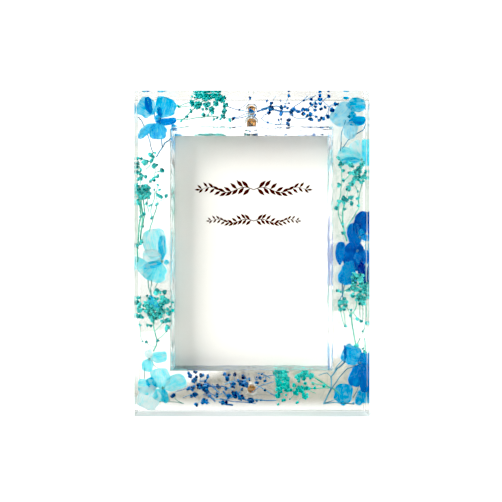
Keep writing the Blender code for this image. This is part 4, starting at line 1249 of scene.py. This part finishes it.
# Each edge fades in between two places, in metres. The painted shadow has a far and a slanting
# left edge
rear, shadow_far_edge, shadow_left_edge = (
    add(tree, "ShaderNodeMapRange", {"Value": value, "From Min": start, "From Max": full},
        interpolation_type="SMOOTHSTEP")
    for value, start, full in ((spot["Y"], 0.0, 0.06), (spot["Y"], 0.34, 0.2),
                               (slant, -0.1, -0.07)))
painted_shadow_mask = rear
for edge in (shadow_far_edge, shadow_left_edge):
    painted_shadow_mask = add(tree, "ShaderNodeMath", {0: painted_shadow_mask, 1: edge}, operation="MULTIPLY")
# The painted shadow is lighter towards the right
paler = add(tree, "ShaderNodeMapRange", {"Value": spot["X"], "From Min": 0.01,
                                         "From Max": 0.06})
painted_shadow_colour = add(tree, "ShaderNodeMix", {"Factor": paler, "A": "#585542", "B": "#8A8870"},
            data_type="RGBA")
cloudy = add(tree, "ShaderNodeTexNoise", {"Vector": place, "Scale": 6})
top_tone = "#F6F6F4"
# Noise varies the table's own tone; the greyer zone behind the frame is painted shade, and the
# grey-brown patch is the frame's painted shadow
for factor, over in ((cloudy, "#FCFCFA"), (rear, "#CFCDC7"), (painted_shadow_mask, painted_shadow_colour)):
    top_tone = add(tree, "ShaderNodeMix", {"Factor": factor, "A": top_tone, "B": over},
                   data_type="RGBA")
plug(shader, {"Base Color": top_tone})
table_mesh = bpy.data.meshes.new("table_top")
# The frame stands a hair above the table, so that its base still mirrors what is inside
corners = [(-1.6, -0.16), (1.6, -0.16), (1.6, 0.0), (0.072, 0.0), (0.54, 2.05), (-0.19, 0.66),
           (-0.075, 0.0), (-1.6, 0.0)]
table_mesh.from_pydata([(x, y, -0.05 * MM) for x, y in corners], [], [range(len(corners))])
table_top = new_piece("table_top", table_mesh, table_finish)
print("The table has", len(corners), "corners")

# %% [markdown]
# ## The room
# Clear resin shows the room more than itself, so the world is painted as a room, by direction.
# Behind the frame it is pale, greyer below eye level and to the right. Bright walls stand at both
# sides behind, just out of the camera's sight, and light the petals from their backs. Beside and
# in front it is dim, but for one pale wall behind the camera, and overhead it is bright towards
# the back.

# %% World
world = bpy.data.worlds.new("bright room")
bpy.context.scene.world = world
world.use_nodes = True
tree = world.node_tree
toward = add(tree, "ShaderNodeTexCoord").outputs["Generated"]
way = add(tree, "ShaderNodeSeparateXYZ", {"Vector": toward}).outputs
sideways = add(tree, "ShaderNodeMath", {0: way["X"]}, operation="ABSOLUTE")
# Each zone fades in as this part of the direction goes from the first value to the second
SOFT, PLAIN = "SMOOTHSTEP", "LINEAR"
ZONES = {
    "right": (way["X"], -0.16, 0.2, PLAIN), "far left": (way["X"], -0.2, -0.21, PLAIN),
    "short of the front wall": (way["Y"], -0.955, -0.93, SOFT),
    "beside": (way["Y"], -0.55, -0.3, SOFT), "behind": (way["Y"], 0.3, 0.5, SOFT),
    "wide": (sideways, 0.3, 0.42, SOFT), "past": (way["Y"], 0.0, 0.15, SOFT),
    "above": (way["Z"], 0.4, 0.6, PLAIN), "above and back": (way["Y"], -0.1, 0.2, PLAIN),
}
zone = {name: add(tree, "ShaderNodeMapRange", {"Value": value, "From Min": start,
                                               "From Max": full}, interpolation_type=kind)
        for name, (value, start, full, kind) in ZONES.items()}
# The right bar's outer face mirrors the far left, which is as grey as the right
greyer = add(tree, "ShaderNodeMath", {0: zone["right"], 1: zone["far left"]},
             operation="MAXIMUM")
lift = add(tree, "ShaderNodeMath", {0: greyer, 1: -0.25, 2: way["Z"]}, operation="MULTIPLY_ADD")
height = add(tree, "ShaderNodeMapRange", {"Value": lift, "From Min": 0.0, "From Max": 0.16})
back = (0.80, 0.82, 0.76, 1)
for factor, over in ((greyer, (0.70, 0.76, 0.68, 1)), (height, 1.35)):
    back = add(tree, "ShaderNodeMix", {"Factor": factor, "A": back, "B": over}, data_type="RGBA")
side_walls = add(tree, "ShaderNodeMath", {0: zone["wide"], 1: zone["past"]},
                 operation="MULTIPLY")
overhead = add(tree, "ShaderNodeMix", {"Factor": zone["above and back"], "A": 0.14, "B": 1.6},
               data_type="RGBA")
# Past the frame and the table, the camera itself sees plain white
seen = add(tree, "ShaderNodeLightPath").outputs["Is Camera Ray"]
# The wall behind the camera comes first, and each of the others covers what is before it
room = 1.9
for factor, over in ((zone["short of the front wall"], 0.13), (zone["beside"], 0.3),
                     (zone["behind"], back), (side_walls, 6.8), (zone["above"], overhead),
                     (seen, 1.2)):
    room = add(tree, "ShaderNodeMix", {"Factor": factor, "A": room, "B": over}, data_type="RGBA")
plug(tree.nodes["Background"], {"Color": room})
print("The room has", len(ZONES), "zones")

# %% [markdown]
# ## The lamps
# One broad light from the upper left in front draws a soft shadow of the thick ring on the card.
# One part of it goes through the resin to the flowers. The other part stops at it, which deepens
# the ring's shadow on the card and on the table.


# %% Lights
def soft_light(name, place, size, power):
    """A square area light that faces the frame's middle."""
    light = bpy.data.lights.new(name, "AREA")
    light.size = size
    light.energy = power
    lamp = bpy.data.objects.new(name, light)
    bpy.context.scene.collection.objects.link(lamp)
    lamp.location = place
    aim = Vector((0, 0, 0.1)) - lamp.location
    lamp.rotation_euler = aim.to_track_quat("-Z", "Y").to_euler()
    return lamp


LAMP_PLACE, LAMP_SIZE = (-0.93, -0.78, 0.8), 1.0
# Watts of the light that goes through the resin, and of the light that stops at it
WINDOW_WATTS, SHADOW_WATTS = 12, 21
soft_light("window light", LAMP_PLACE, LAMP_SIZE, WINDOW_WATTS)
soft_light("shadow light", LAMP_PLACE, LAMP_SIZE, SHADOW_WATTS).visible_transmission = False
print("Lamps stand", round(Vector(LAMP_PLACE).length, 2), "m away")

# %% [markdown]
# ## The camera
# The camera looks straight at the front face from a third of a metre, which is what shows the
# window's walls as wide as they are in the photograph. One pixel is 0.587 mm on that face, and a
# shift of the lens puts the frame where the photograph has it. Its dark tones were deepened, as
# a levels tool does, so the view's black level is raised too. Light turns many times in clear
# resin, so rays may bounce more often than Blender's default allows.

# %% Camera
PIXELS = 502
SCALE = 0.587 * MM
DISTANCE = 0.325
EYE_ACROSS, EYE_UP = -6.4 * MM, 73.4 * MM
# The lens is shifted sideways and up by this many pixels
SHIFT_ACROSS, SHIFT_UP = 10, 40
BLACK_LEVEL = 0.077
BOUNCES = 24
camera = bpy.data.cameras.new("camera")
camera.lens = camera.sensor_width * DISTANCE / (PIXELS * SCALE)
camera.shift_x = SHIFT_ACROSS / PIXELS
camera.shift_y = SHIFT_UP / PIXELS
camera.clip_start = 0.01
eye = bpy.data.objects.new("camera", camera)
bpy.context.scene.collection.objects.link(eye)
eye.location = (EYE_ACROSS, FRONT_Y - DISTANCE, EYE_UP)
eye.rotation_euler = (math.pi / 2, 0, 0)
bpy.context.scene.camera = eye
levels = bpy.context.scene.view_settings
levels.view_transform = "Standard"
levels.use_curve_mapping = True
levels.curve_mapping.black_level = [BLACK_LEVEL] * 3
bpy.context.scene.cycles.max_bounces = BOUNCES
bpy.context.scene.cycles.transmission_bounces = BOUNCES
print("Camera stands", DISTANCE, "m in front")
